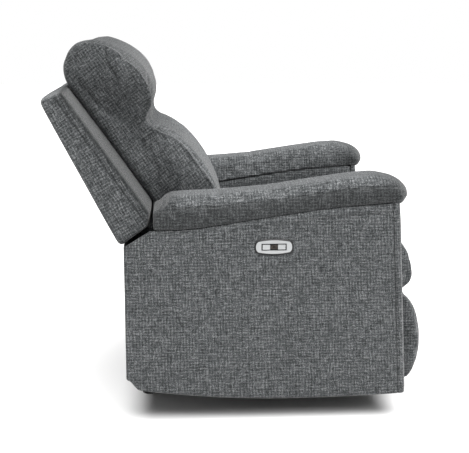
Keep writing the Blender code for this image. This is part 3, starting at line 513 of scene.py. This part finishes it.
ROLL = 0.011
TIGHT = 0.007
SEWN_BEHIND = 0.0085
for side, sign in (("right", -1), ("left", 1)):
    panel = f"arm_outer_panel_{side}"
    low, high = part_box(panel)
    lining_low, lining_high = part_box(f"arm_inner_panel_{side}")
    front_low, front_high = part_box(f"arm_front_panel_{side}")
    face = max(abs(low.x), abs(high.x))
    inside = min(abs(lining_low.x), abs(lining_high.x))
    board = high.x - low.x
    foot_y, head_y, rear_y = front_low.y, front_high.y - board, high.y
    foot_z, head_z = front_low.z, front_high.z

    # each station round the arm is (x, share of the way to the rear, offset in y, outward x, outward y)
    stations = [(inside, 0, TIGHT + reach, -1, 0) for reach in (0.008, 0.005, 0.0025, 0.0)]
    for turn in np.linspace(0, math.pi / 2, 5)[1:]:
        s, c = math.sin(turn), math.cos(turn)
        stations.append((inside + TIGHT * (1 - c), 0, TIGHT * (1 - s), -c, -s))
    for x in np.linspace(inside + TIGHT, face - ROLL, 12)[1:]:
        stations.append((x, 0, 0, 0, -1))
    for turn in np.linspace(0, math.pi / 2, 7)[1:]:
        s, c = math.sin(turn), math.cos(turn)
        stations.append((face - ROLL * (1 - s), 0, ROLL * (1 - c), s, -c))
    first_outside = len(stations)
    for reach in (0.003, 0.006, 0.0073, 0.0085, 0.0097, 0.011, 0.014, 0.019, 0.028, 0.040):
        stations.append((face, 0, ROLL + reach, 1, 0))
    for share in np.linspace(0, 1, 150)[1:]:
        offset = (ROLL + 0.040) * (1 - share) - TIGHT * share
        stations.append((face, share, offset, 1, 0))
    last_outside = len(stations)
    for turn in np.linspace(0, math.pi / 2, 5)[1:]:
        s, c = math.sin(turn), math.cos(turn)
        stations.append((face - TIGHT * (1 - c), 1, -TIGHT * (1 - s), c, s))
    for x in np.linspace(face - TIGHT, inside + TIGHT, 12)[1:]:
        stations.append((x, 1, 0, 0, 1))
    for turn in np.linspace(0, math.pi / 2, 5)[1:]:
        s, c = math.sin(turn), math.cos(turn)
        stations.append((inside + TIGHT * (1 - s), 1, -TIGHT * (1 - c), -s, c))
    stations += [(inside, 1, -TIGHT - reach, -1, 0) for reach in (0.003, 0.008)]
    x, share, offset, out_x, out_y = np.array(stations).T

    # rows from the fold under the bottom edge up to the seam below the pad
    folds = np.array([(0.018, 0.0012), (0.009, 0.0004), (0.0035, 0.0008), (0.0010, 0.0030), (0.0, 0.0065)])
    rises = np.concatenate([np.linspace(0.010, 0.446, 100), np.linspace(0.449, 0.500, 26)]) / 0.500
    middle_y = (foot_y + head_y) / 2 * (1 - share) + rear_y * share + offset
    spans = span_at(panel, np.clip(middle_y, head_y + 0.001, rear_y - 0.001))
    bottom, top = spans[:, 0] + 0.024 * step_up(0.945, 1.0, share) ** 2, spans[:, 1]
    tuck = np.concatenate([folds[:, 0], np.zeros(len(rises))])[:, None]
    first = bottom + folds[-1, 1]
    z = np.concatenate([bottom + folds[:, 1:], first + (top - 0.001 - first) * rises[:, None]])
    front_y = foot_y + (head_y - foot_y) * np.clip((z - foot_z) / (head_z - foot_z), 0, 1)
    y = front_y * (1 - share) + rear_y * share + offset

    # padding: the faces swell between their seams, and the seams are drawn in
    behind = np.where((out_x == 1) & (share < 0.02), offset - ROLL, 1.0)
    seam = ridge_at(behind - SEWN_BEHIND, 0.0014)
    level = (z - bottom) / (top - bottom)
    run = np.clip((np.arange(len(x)) - first_outside) / (last_outside - first_outside), 0, 1)
    on_side = (out_x == 1) & (behind > SEWN_BEHIND)
    swell = on_side * 0.0035 * (1 - (2 * run - 1) ** 6) * np.clip(1 - (2 * level - 1) ** 6, 0, 1)
    front_run = (x - inside) / (face - inside)
    on_front = out_y == -1
    front_crown = np.clip(1 - (2 * front_run - 1) ** 4, 0, 1) * (1 - (2 * level - 1) ** 8)
    swell = swell + on_front * 0.005 * front_crown
    below = top - z
    fore = on_side * step_up(0.72, 0.30, run)
    ridge = 0.0034 * ridge_at(below - 0.013, 0.0065) - 0.0026 * ridge_at(below - 0.0255, 0.0035)
    swell = swell + fore * ridge - 0.0026 * seam - tuck
    if side == "right":
        plate_low, plate_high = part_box("switch_plate")
        off_y = np.abs(y - (plate_low.y + plate_high.y) / 2) - (plate_high.y - plate_low.y) / 2
        off_z = np.abs(z - (plate_low.z + plate_high.z) / 2) - (plate_high.z - plate_low.z) / 2
        pressed = step_up(0.009, 0.0, off_y) * step_up(0.009, 0.0, off_z) * on_side
        sunk = step_up(-0.009, -0.015, off_y) * step_up(-0.004, -0.009, off_z) * on_side
        swell = swell * (1 - pressed) - 0.005 * sunk
    reach_x, reach_y = x + out_x * swell, y + out_y * swell

    net = bmesh.new()
    bmesh.ops.create_grid(net, x_segments=len(x) - 1, y_segments=len(z) - 1, size=1.0)
    line = net.verts.layers.float.new("seam")
    order = sorted(net.verts, key=lambda v: (round(v.co.y, 4), round(v.co.x, 4)))
    plan = np.concatenate([[0], np.cumsum(np.hypot(np.diff(x), np.diff(middle_y)))])
    # painted shade: the line sewn down behind the front roll is darkened in the colour, as shade in its
    # groove
    sewn_line_shade = 0.9 * ridge_at(behind - SEWN_BEHIND, 0.0011)
    where = {}
    for index, vertex in enumerate(order):
        row, column = divmod(index, len(x))
        vertex.co = (sign * reach_x[row, column], reach_y[row, column], z[row, column])
        vertex[line] = sewn_line_shade[column]
        where[vertex] = (plan[column], z[row, column])
    layer = net.loops.layers.uv.new("cloth")
    for polygon in net.faces:
        for loop in polygon.loops:
            loop[layer].uv = where[loop.vert]
    bmesh.ops.recalc_face_normals(net, faces=net.faces)
    if sum(f.normal.x * f.calc_area() for f in net.faces) * sign < 0:
        bmesh.ops.reverse_faces(net, faces=net.faces)
    cover = build_object(f"arm_cover_{side}", net)
    wall = cover.modifiers.new("Thickness", "SOLIDIFY")
    wall.thickness = 0.002
    wall.offset = -1
    clothe(cover, chenille)
    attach(cover, "chassis")
    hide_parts(panel, f"arm_front_panel_{side}", f"arm_rear_panel_{side}")

# Inside of each arm: a flat panel of plywood under thin padding. Its cover is sewn to the outside's
# at the front and rear corners, and stapled under the pad and along the bottom.
def cad_copy(name, *nodes):
    """A bmesh of these nodes' own shapes, with their loose triangles merged."""
    made = bmesh.new()
    for node in nodes:
        made.from_mesh(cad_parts[node].data)
    bmesh.ops.remove_doubles(made, verts=made.verts, dist=0.00001)
    return build_object(name, made)


def resolve(obj):
    """Takes the object's modifiers into its mesh."""
    graph = bpy.context.evaluated_depsgraph_get()
    graph.update()
    data = bpy.data.meshes.new_from_object(obj.evaluated_get(graph))
    old = obj.data
    obj.modifiers.clear()
    obj.data = data
    bpy.data.meshes.remove(old)
    for polygon in data.polygons:
        polygon.use_smooth = True


def reskin(obj, size):
    """Covers the piece with an even net of quads of this size."""
    net = obj.modifiers.new("Net", "REMESH")
    net.mode = "VOXEL"
    net.voxel_size = size
    resolve(obj)


def relax(obj, turns):
    """Eases the piece's edges, as padding under a cover does, this many times."""
    every_way = {"use_axis_x": True, "use_axis_y": True, "use_axis_z": True}
    mesh = bmesh.new()
    mesh.from_mesh(obj.data)
    for _ in range(turns):
        bmesh.ops.smooth_vert(mesh, verts=mesh.verts, factor=0.5, **every_way)
    mesh.to_mesh(obj.data)
    mesh.free()


def points_of(obj):
    """Where the piece's points are, one row each."""
    co = np.empty(len(obj.data.vertices) * 3)
    obj.data.vertices.foreach_get("co", co)
    return co.reshape(-1, 3)


def move_to(obj, co):
    """Moves the piece's points to these places."""
    obj.data.vertices.foreach_set("co", co.astype(np.float32).ravel())
    obj.data.update()


def lay_cloth(obj, tilt=0.0):
    """Writes how the cloth lies on the piece, in metres: flat on its two sides, where it is turned by
    tilt, and in one band round the rest, measured across the chair and along the band."""
    data = obj.data
    layer = data.uv_layers.get("cloth") or data.uv_layers.new(name="cloth")
    count = len(data.vertices)
    co = np.empty(count * 3)
    data.vertices.foreach_get("co", co)
    co = co.reshape(-1, 3)
    normals = np.empty(len(data.polygons) * 3)
    data.polygons.foreach_get("normal", normals)
    normals = normals.reshape(-1, 3)
    totals = np.empty(len(data.polygons), int)
    data.polygons.foreach_get("loop_total", totals)
    owner = np.repeat(np.arange(len(data.polygons)), totals)
    loop_vertex = np.empty(len(data.loops), int)
    data.loops.foreach_get("vertex_index", loop_vertex)
    spot, normal = co[loop_vertex], normals[owner]
    c, s = math.cos(tilt), math.sin(tilt)
    level, upright = c * spot[:, 1] + s * spot[:, 2], -s * spot[:, 1] + c * spot[:, 2]
    n_level, n_upright = c * normal[:, 1] + s * normal[:, 2], -s * normal[:, 1] + c * normal[:, 2]
    facing_side = np.abs(normal[:, 0]) > 0.72
    facing_up = ~facing_side & (np.abs(n_upright) > np.abs(n_level))
    u = np.where(facing_side, level, spot[:, 0])
    v = np.where(facing_side, upright, np.where(facing_up, level, upright))
    layer.data.foreach_set("uv", np.stack([u, v], 1).astype(np.float32).ravel())


for side, sign in (("right", -1), ("left", 1)):
    lining = cad_copy(f"arm_lining_{side}", f"arm_inner_panel_{side}")
    reskin(lining, 0.007)
    relax(lining, 3)
    co = points_of(lining)
    low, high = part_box(f"arm_inner_panel_{side}")
    middle = (low.y + high.y) / 2
    co[:, 1] = middle + (co[:, 1] - middle) * (1 - 0.032 / (high.y - low.y))
    move_to(lining, co)
    lay_cloth(lining)
    clothe(lining, chenille)
    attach(lining, "chassis")
    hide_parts(f"arm_inner_panel_{side}")

# Arm pads: soft foam loaves wrapped in the cover, which is stapled down along both lower edges and
# gathered at the rear. A seam runs along the outer top edge; its line, the outer side below it and
# both ends of the pad are darkened in the colour as painted shade.
def normals_of(obj):
    """Which way the piece faces at each of its points."""
    normals = np.empty(len(obj.data.vertices) * 3, np.float32)
    obj.data.vertices.foreach_get("normal", normals)
    return normals.reshape(-1, 3).astype(float)


def inflate(obj, cap, held):
    """Blows the piece up as cloth with some spare material, no further than the cap. held says how
    firmly each point is sewn down, from 0 to 1."""
    frames = 20
    start = points_of(obj)
    group = obj.vertex_groups.new(name="held")
    for index in np.nonzero(held > 0.01)[0]:
        group.add([int(index)], float(held[index]), "REPLACE")
    cloth = obj.modifiers.new("Cloth", "CLOTH")
    settings = cloth.settings
    settings.quality = 5
    settings.mass = 0.25
    settings.tension_stiffness = 12
    settings.compression_stiffness = 12
    settings.shear_stiffness = 6
    settings.bending_stiffness = 0.4
    settings.shrink_min = -0.035
    settings.use_pressure = True
    settings.uniform_pressure_force = 6.0
    settings.effector_weights.gravity = 0
    settings.vertex_group_mass = "held"
    cloth.collision_settings.use_collision = False
    cloth.point_cache.frame_start, cloth.point_cache.frame_end = 1, frames
    for step in range(1, frames + 1):
        scene.frame_set(step)
    graph = bpy.context.evaluated_depsgraph_get()
    blown = obj.evaluated_get(graph).to_mesh()
    co = np.empty(len(blown.vertices) * 3)
    blown.vertices.foreach_get("co", co)
    co = co.reshape(-1, 3)
    obj.modifiers.clear()
    scene.frame_set(1)
    moved = co - start
    length = np.linalg.norm(moved, axis=1, keepdims=True)
    moved *= np.minimum(1.0, cap / np.maximum(length, 1e-9))
    move_to(obj, start + moved)


def refine(obj):
    """Gives the blown-up cover a finer, smoother net."""
    smoother = obj.modifiers.new("Smoother", "SUBSURF")
    smoother.levels = smoother.render_levels = 1
    resolve(obj)


def paint_seam_and_side_shade(obj, depth):
    """Writes how much the colour is darkened at each point, from 0 to 1: painted shade in the stitched
    grooves and on faces turned from the light.
    """
    layer = obj.data.attributes.new("seam", "FLOAT", "POINT")
    layer.data.foreach_set("value", np.clip(depth, 0, 1).astype(np.float32))


for side, sign in (("right", -1), ("left", 1)):
    node = f"arm_pad_{side}"
    low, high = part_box(node)
    middle, half = (low.x + high.x) / 2, (high.x - low.x) / 2
    pad = cad_copy(f"arm_pad_cover_{side}", node)
    reskin(pad, 0.006)
    relax(pad, 4)
    co = points_of(pad)
    across = (co[:, 0] - middle) / half
    marks = np.linspace(low.y + 0.001, high.y - 0.001, 60)
    spans = span_at(node, marks)
    bottom, top = np.interp(co[:, 1], marks, spans[:, 0]), np.interp(co[:, 1], marks, spans[:, 1])
    rise = np.clip((co[:, 2] - bottom) / np.maximum(top - bottom, 0.01), 0, 1)
    nose = 1 - step_up(low.y, low.y + 0.14, co[:, 1])
    co[:, 1] += (0.008 + 0.022 * np.abs(across) ** 2.5) * nose
    co[:, 2] -= (top - bottom) * 0.14 * np.abs(across) ** 3 * rise
    co[:, 0] = middle + (co[:, 0] - middle) * (1 - 0.04 * rise**2 - 0.03 * nose)
    move_to(pad, co)
    held = 1 - step_up(0.02, 0.14, rise)
    held = np.maximum(held, step_up(high.y - 0.030, high.y - 0.004, co[:, 1]))
    inflate(pad, 0.013, held)
    refine(pad)
    co = points_of(pad)
    bottom, top = np.interp(co[:, 1], marks, spans[:, 0]), np.interp(co[:, 1], marks, spans[:, 1])
    rise = (co[:, 2] - bottom) / np.maximum(top - bottom, 0.01)
    outside = step_up(0.6, 0.9, (co[:, 0] - middle) / half * sign)
    line = outside * step_up(high.y - 0.012, high.y - 0.050, co[:, 1])
    move_to(pad, co - normals_of(pad) * (0.0024 * line * ridge_at(rise - 0.74, 0.060))[:, None])
    # painted shade: the seam's line, the outer side below it and both ends of the pad are darkened in the
    # colour, where shade falls
    front_end = step_up(low.y + 0.120, low.y + 0.020, co[:, 1])
    rear_end = step_up(high.y - 0.100, high.y - 0.020, co[:, 1])
    painted_shade = np.maximum(0.60 * outside * step_up(0.80, 0.66, rise), 0.58 * np.maximum(front_end, rear_end))
    paint_seam_and_side_shade(pad, np.maximum(0.75 * line * ridge_at(rise - 0.74, 0.028), painted_shade))
    lay_cloth(pad)
    clothe(pad, chenille)
    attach(pad, "chassis")
    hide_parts(node)

# Lower rear panel: a board between the arms that hides the works and holds the power inlet, with
# thin padding and the cover stapled round its edges.
skirt = cad_copy("rear_skirt_cover", "rear_skirt_panel")
reskin(skirt, 0.006)
relax(skirt, 3)
lay_cloth(skirt)
clothe(skirt, chenille)
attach(skirt, "chassis")
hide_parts("rear_skirt_panel")

# Switch in the right arm: a satin silver plate on a black ring, which is its gasket and also painted
# shadow in the gap round the plate, two dished push buttons, and a charging port between them. The
# plate clips into its housing and holds the cover down.
SILVER, SILVER_RUBBED = (0.46, 0.47, 0.475), (0.38, 0.39, 0.40)
BROWN, BROWN_RUBBED = (0.030, 0.022, 0.016), (0.05, 0.04, 0.03)
satin_silver = hard_finish("satin_silver", SILVER, SILVER_RUBBED, 0.40, 1600, 0.00004, 0.25, 0.3)
port_brown = hard_finish("port_brown", BROWN, BROWN_RUBBED, 0.5, 1500, 0.0001, 0.0, 0.3)
port = cad_copy("charging_port", "usb_port")
low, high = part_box("usb_port")
co = points_of(port)
co[:, 1] = (low.y + high.y) / 2 + (co[:, 1] - (low.y + high.y) / 2) * 0.64
move_to(port, co)
clothe(port, port_brown)
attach(port, "chassis")
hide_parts("usb_port")
bezel = cad_copy("switch_bezel", "switch_plate")
edge = bezel.modifiers.new("Rounded", "BEVEL")
edge.width = 0.0009
edge.segments = 3
edge.limit_method = "ANGLE"
clothe(bezel, satin_silver)
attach(bezel, "chassis")
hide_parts("switch_plate")
# painted shadow: the black ring is the gasket and also the shade in the gap round the plate, so it reaches
# well past the plate's edge
gap_shade_gasket = cad_copy("switch_gasket_and_gap_shade", "switch_plate")
low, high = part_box("switch_plate")
centre, half = (low + high) / 2, (high - low) / 2
GAP_SHADE_GASKET = 0.0042
co = points_of(gap_shade_gasket)
co[:, 1] = centre.y + (co[:, 1] - centre.y) * (1 + GAP_SHADE_GASKET / half.y)
co[:, 2] = centre.z + (co[:, 2] - centre.z) * (1 + GAP_SHADE_GASKET / half.z)
co[:, 0] += 0.0008
move_to(gap_shade_gasket, co)
clothe(gap_shade_gasket, moulded_black)
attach(gap_shade_gasket, "chassis")
for node, body in (("button_recline", "recline_button"), ("button_return", "return_button")):
    button = bmesh.new()
    button.from_mesh(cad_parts[node].data)
    bmesh.ops.remove_doubles(button, verts=button.verts, dist=0.00001)
    bmesh.ops.dissolve_limit(button, angle_limit=0.02, verts=button.verts, edges=button.edges)
    outer = max((f for f in button.faces if f.normal.x < -0.9), key=lambda f: f.calc_area())
    bmesh.ops.inset_region(button, faces=[outer], thickness=0.0020, depth=0.0)
    bmesh.ops.translate(button, verts=outer.verts, vec=(0.0007, 0, 0))
    low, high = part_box(node)
    outer_y = max(low.y, high.y, key=lambda y: abs(y - centre.y))
    edge_y = centre.y + (outer_y - centre.y) * 0.97
    for vertex in button.verts:
        vertex.co.y = edge_y + (vertex.co.y - outer_y) * 1.40
        vertex.co.z = centre.z + (vertex.co.z - centre.z) * 0.92
    cap = build_object(f"{node}_cap", button)
    for polygon in cap.data.polygons:
        polygon.use_smooth = False
    clothe(cap, satin_silver)
    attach(cap, body)
    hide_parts(node)

# Seat cushion: foam over the springs with a rolled front, in one crowned piece whose cover is
# pulled down round the rails of the seat frame.
low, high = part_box("seat_cushion")
frame_low, frame_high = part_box("seat_frame")
wrap = bmesh.new()
wrap.from_mesh(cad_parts["seat_cushion"].data)
bmesh.ops.remove_doubles(wrap, verts=wrap.verts, dist=0.00001)
size = frame_high - frame_low + Vector((0.002, 0.002, 0.016))
centre = (frame_low + frame_high) / 2 + Vector((0, 0, 0.007))
bmesh.ops.create_cube(wrap, size=1.0, matrix=Matrix.Translation(centre) @ Matrix.Diagonal((*size, 1)))
seat = build_object("seat_cover", wrap)
reskin(seat, 0.008)
relax(seat, 4)
move_to(seat, points_of(seat) - normals_of(seat) * 0.003)
co = points_of(seat)
co[:, 1] -= 0.012 * step_up(-0.40, -0.46, co[:, 1])
move_to(seat, co)
held = 1 - step_up(low.z + 0.095, low.z + 0.125, co[:, 2] + 2.0 * np.maximum(0, -0.42 - co[:, 1]))
inflate(seat, 0.024, held)
refine(seat)
lay_cloth(seat)
clothe(seat, chenille)
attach(seat, "seat_carriage")
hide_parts("seat_cushion", "seat_frame")

# Footrest: foam on a board, rounded like the seat's front roll that it continues. The cover is
# pulled round the board and stapled behind it.
low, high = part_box("footrest_pad")
board_low, board_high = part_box("footrest_board")
wrap = bmesh.new()
wrap.from_mesh(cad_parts["footrest_pad"].data)
bmesh.ops.remove_doubles(wrap, verts=wrap.verts, dist=0.00001)
size = Vector((high.x - low.x - 0.004, board_high.y - board_low.y, high.z - low.z - 0.010))
centre = Vector((0, (board_low.y + board_high.y) / 2 - 0.001, (low.z + high.z) / 2))
bmesh.ops.create_cube(wrap, size=1.0, matrix=Matrix.Translation(centre) @ Matrix.Diagonal((*size, 1)))
foot = build_object("footrest_cover", wrap)
reskin(foot, 0.007)
relax(foot, 4)
co = points_of(foot)
free = 1 - step_up(board_low.y - 0.012, board_low.y + 0.002, co[:, 1])
move_to(foot, co - normals_of(foot) * 0.002 * free[:, None])
inflate(foot, 0.018, 1 - free)
refine(foot)
lay_cloth(foot)
clothe(foot, chenille)
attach(foot, "footrest")
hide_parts("footrest_pad", "footrest_board")

# Back: a leaning box of plywood boards under thin padding. A border of the cover is sewn round its
# front edge, and its rear is one crowned panel.
shell = cad_copy("back_shell", "back_side_board_right")
low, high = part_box("back_side_board_right")
co = points_of(shell)
board = (low.x + high.x) / 2
co[:, 0] = (co[:, 0] - board) / ((high.x - low.x) / 2) * abs(low.x)
move_to(shell, co)
reskin(shell, 0.005)
relax(shell, 8)
co, out = points_of(shell), normals_of(shell)
REAR_LEAN = math.radians(27.2)
FRONT_LEAN = math.radians(34.7)
up = Vector((math.sin(REAR_LEAN), math.cos(REAR_LEAN)))
along_back = (co[:, 1] - low.y) * up.x + (co[:, 2] - low.z) * up.y
rise = (along_back - along_back.min()) / (along_back.max() - along_back.min())
across = co[:, 0] / abs(low.x)
crown = np.clip(1 - (2 * rise - 1) ** 6, 0, 1) * np.clip(1 - across**8, 0, 1)
rearward = np.clip(out[:, 1] * up.y - out[:, 2] * up.x, 0, 1)
back_line = Vector((math.sin(FRONT_LEAN), math.cos(FRONT_LEAN)))
forward = co[:, 2] * back_line.x - co[:, 1] * back_line.y
behind = forward.max() - forward
flat = step_up(0.6, 0.9, np.abs(out[:, 0]))
BORDER = 0.026
seam = flat * ridge_at(behind - BORDER, 0.0034)
border = flat * step_up(0.024, 0.014, behind) * 0.0022
co += out * (0.0025 + 0.0095 * rearward + 0.0050 * crown * rearward + border - 0.0022 * seam)[:, None]
move_to(shell, co)
# painted shade: the stitched line is darkened as shade in its groove, the flat sides a little, and the
# front border band strongly, to tone down its lit rim
stitched_line_shade = 0.7 * ridge_at(behind - BORDER, 0.0028)
painted_shade = 0.78 * step_up(0.017, 0.009, behind)
paint_seam_and_side_shade(shell, np.maximum(flat * np.maximum(stitched_line_shade, 0.10), painted_shade))
lay_cloth(shell, tilt=math.radians(-29))
clothe(shell, chenille)
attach(shell, "back")
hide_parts("back_side_board_right", "back_side_board_left", "back_rear_board", "back_front_board")

# Back cushion: one cover over the foam lumbar and head pads, drawn in by a deep tuck between them
# and sewn to the back's front board all round.
low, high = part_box("lumbar_cushion")
head_low, head_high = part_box("headrest_cushion")
bridge = bmesh.new()
tops = [v.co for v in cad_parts["lumbar_cushion"].data.vertices]
bottoms = [v.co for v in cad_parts["headrest_cushion"].data.vertices]
tuck_y = head_low.y + 0.012
for spot in tops:
    if spot.z > high.z - 0.115 and spot.y > tuck_y:
        bridge.verts.new(spot)
for spot in bottoms:
    if spot.z < head_low.z + 0.115 and spot.y > tuck_y:
        bridge.verts.new((spot.x * low.x / head_low.x, spot.y, spot.z))
hull = bmesh.ops.convex_hull(bridge, input=bridge.verts)
inside = hull["geom_interior"] + hull["geom_unused"]
spare = [item for item in dict.fromkeys(inside) if isinstance(item, bmesh.types.BMVert)]
bmesh.ops.delete(bridge, geom=spare, context="VERTS")
link = bpy.data.meshes.new("bridge")
bridge.to_mesh(link)
bridge.free()
joined = bmesh.new()
for data in (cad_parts["lumbar_cushion"].data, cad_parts["headrest_cushion"].data):
    joined.from_mesh(data)
bmesh.ops.remove_doubles(joined, verts=joined.verts, dist=0.00001)
joined.from_mesh(link)
bpy.data.meshes.remove(link)
for vertex in joined.verts:
    if abs(vertex.co.x) > high.x + 0.004:
        widen = float(step_up(head_low.z + 0.010, head_low.z + 0.130, vertex.co.z))
        vertex.co.x = math.copysign(high.x + (abs(vertex.co.x) - high.x) * widen, vertex.co.x)
cushion = build_object("back_cushion_cover", joined)
reskin(cushion, 0.008)
relax(cushion, 14)
co = points_of(cushion)
off_board = -co[:, 1] * back_line.y + co[:, 2] * back_line.x
off_board -= np.percentile(off_board[co[:, 2] > low.z + 0.15], 1)
held = 1 - step_up(0.010, 0.040, off_board)
out = normals_of(cushion)
take_in = 0.004 + 0.016 * step_up(0.8, 0.2, np.abs(out[:, 0])) * step_up(0.3, -0.2, out[:, 1])
co = co - out * (take_in * (1 - held))[:, None]
co[:, 1] += 0.020 * step_up(0.94, 1.04, co[:, 2])
up_back = (co[:, 1] - tuck_y) * back_line.x + (co[:, 2] - head_low.z) * back_line.y
slide = 0.030 * ridge_at(up_back - 0.010, 0.115)
co[:, 1:] -= slide[:, None] * np.array(back_line)
fore = step_up(0.05, 0.15, off_board)
co[:, 1] += 0.37 * slide * fore + 0.006 * fore * step_up(0.88, 0.96, co[:, 2])
co[:, 2] -= 0.005 * fore * step_up(0.88, 0.96, co[:, 2])
move_to(cushion, co)
inflate(cushion, 0.022, held)
refine(cushion)

# the tuck draws the cover into small gathers, and a short dart shapes each side of the head pad
co, out = points_of(cushion), normals_of(cushion)
from_tuck = np.hypot(co[:, 1] - tuck_y + 0.022, co[:, 2] - head_low.z + 0.034)
facing = step_up(0.2, 0.7, -out[:, 1])
folds = np.sin(co[:, 0] * 2 * math.pi / 0.036 + 1.6 * np.sin(co[:, 0] * 23.0))
gather = 0.0022 * folds * facing * ridge_at(from_tuck, 0.060)
dart = np.full(len(co), 1.0)
for start, end in (((0.364, 1.015), (0.364, 0.982)), ((0.364, 0.982), (0.331, 0.924))):
    run = np.array(end) - np.array(start)
    off = co[:, 1:] - np.array(start)
    share = np.clip(off @ run / (run @ run), 0, 1)
    dart = np.minimum(dart, np.hypot(off[:, 0] - share * run[0], off[:, 1] - share * run[1]))
on_side = step_up(0.55, 0.8, np.abs(out[:, 0]))
crease = 0.010 * step_up(0.25, -0.15, out[:, 1]) * ridge_at(from_tuck, 0.020)
co += out * (gather - crease - 0.0022 * on_side * ridge_at(dart, 0.0045))[:, None]
move_to(cushion, co)
# painted shade: the front of the head pad, the top of the lumbar pad, the sides and the dart's line are
# darkened in the colour
painted_shade = (0.22 * step_up(0.66, 0.78, co[:, 2]) + 0.20 * step_up(0.84, 0.92, co[:, 2])) * (1 - on_side)
paint_seam_and_side_shade(cushion, np.maximum(np.maximum(0.85 * ridge_at(dart, 0.0030), 0.20) * on_side, painted_shade))
lay_cloth(cushion, tilt=math.radians(-33))
clothe(cushion, chenille)
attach(cushion, "back")
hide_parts("lumbar_cushion", "headrest_cushion")

# Lower back: a narrow covered board behind the hinge, with a flap of the cover that hangs between
# the brackets and closes the gap above the skirt.
lower = cad_copy("lower_back_cover", "back_lower_board")
reskin(lower, 0.005)
relax(lower, 2)
co = points_of(lower)
low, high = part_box("back_lower_board")
bracket_low, bracket_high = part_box("back_bracket_left")
skirt_low, skirt_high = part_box("rear_skirt_panel")
between = step_up(bracket_low.x - 0.002, bracket_low.x - 0.010, np.abs(co[:, 0]))
hang = step_up(low.z + 0.030, low.z + 0.006, co[:, 2]) * between
co[:, 2] -= hang * (low.z - skirt_high.z + 0.012)
co[:, 1] = np.minimum(co[:, 1], np.where(hang > 0.5, skirt_low.y - 0.0025, 1.0))
move_to(lower, co)
lay_cloth(lower)
clothe(lower, chenille)
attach(lower, "back")
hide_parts("back_lower_board")

bpy.context.view_layer.update()
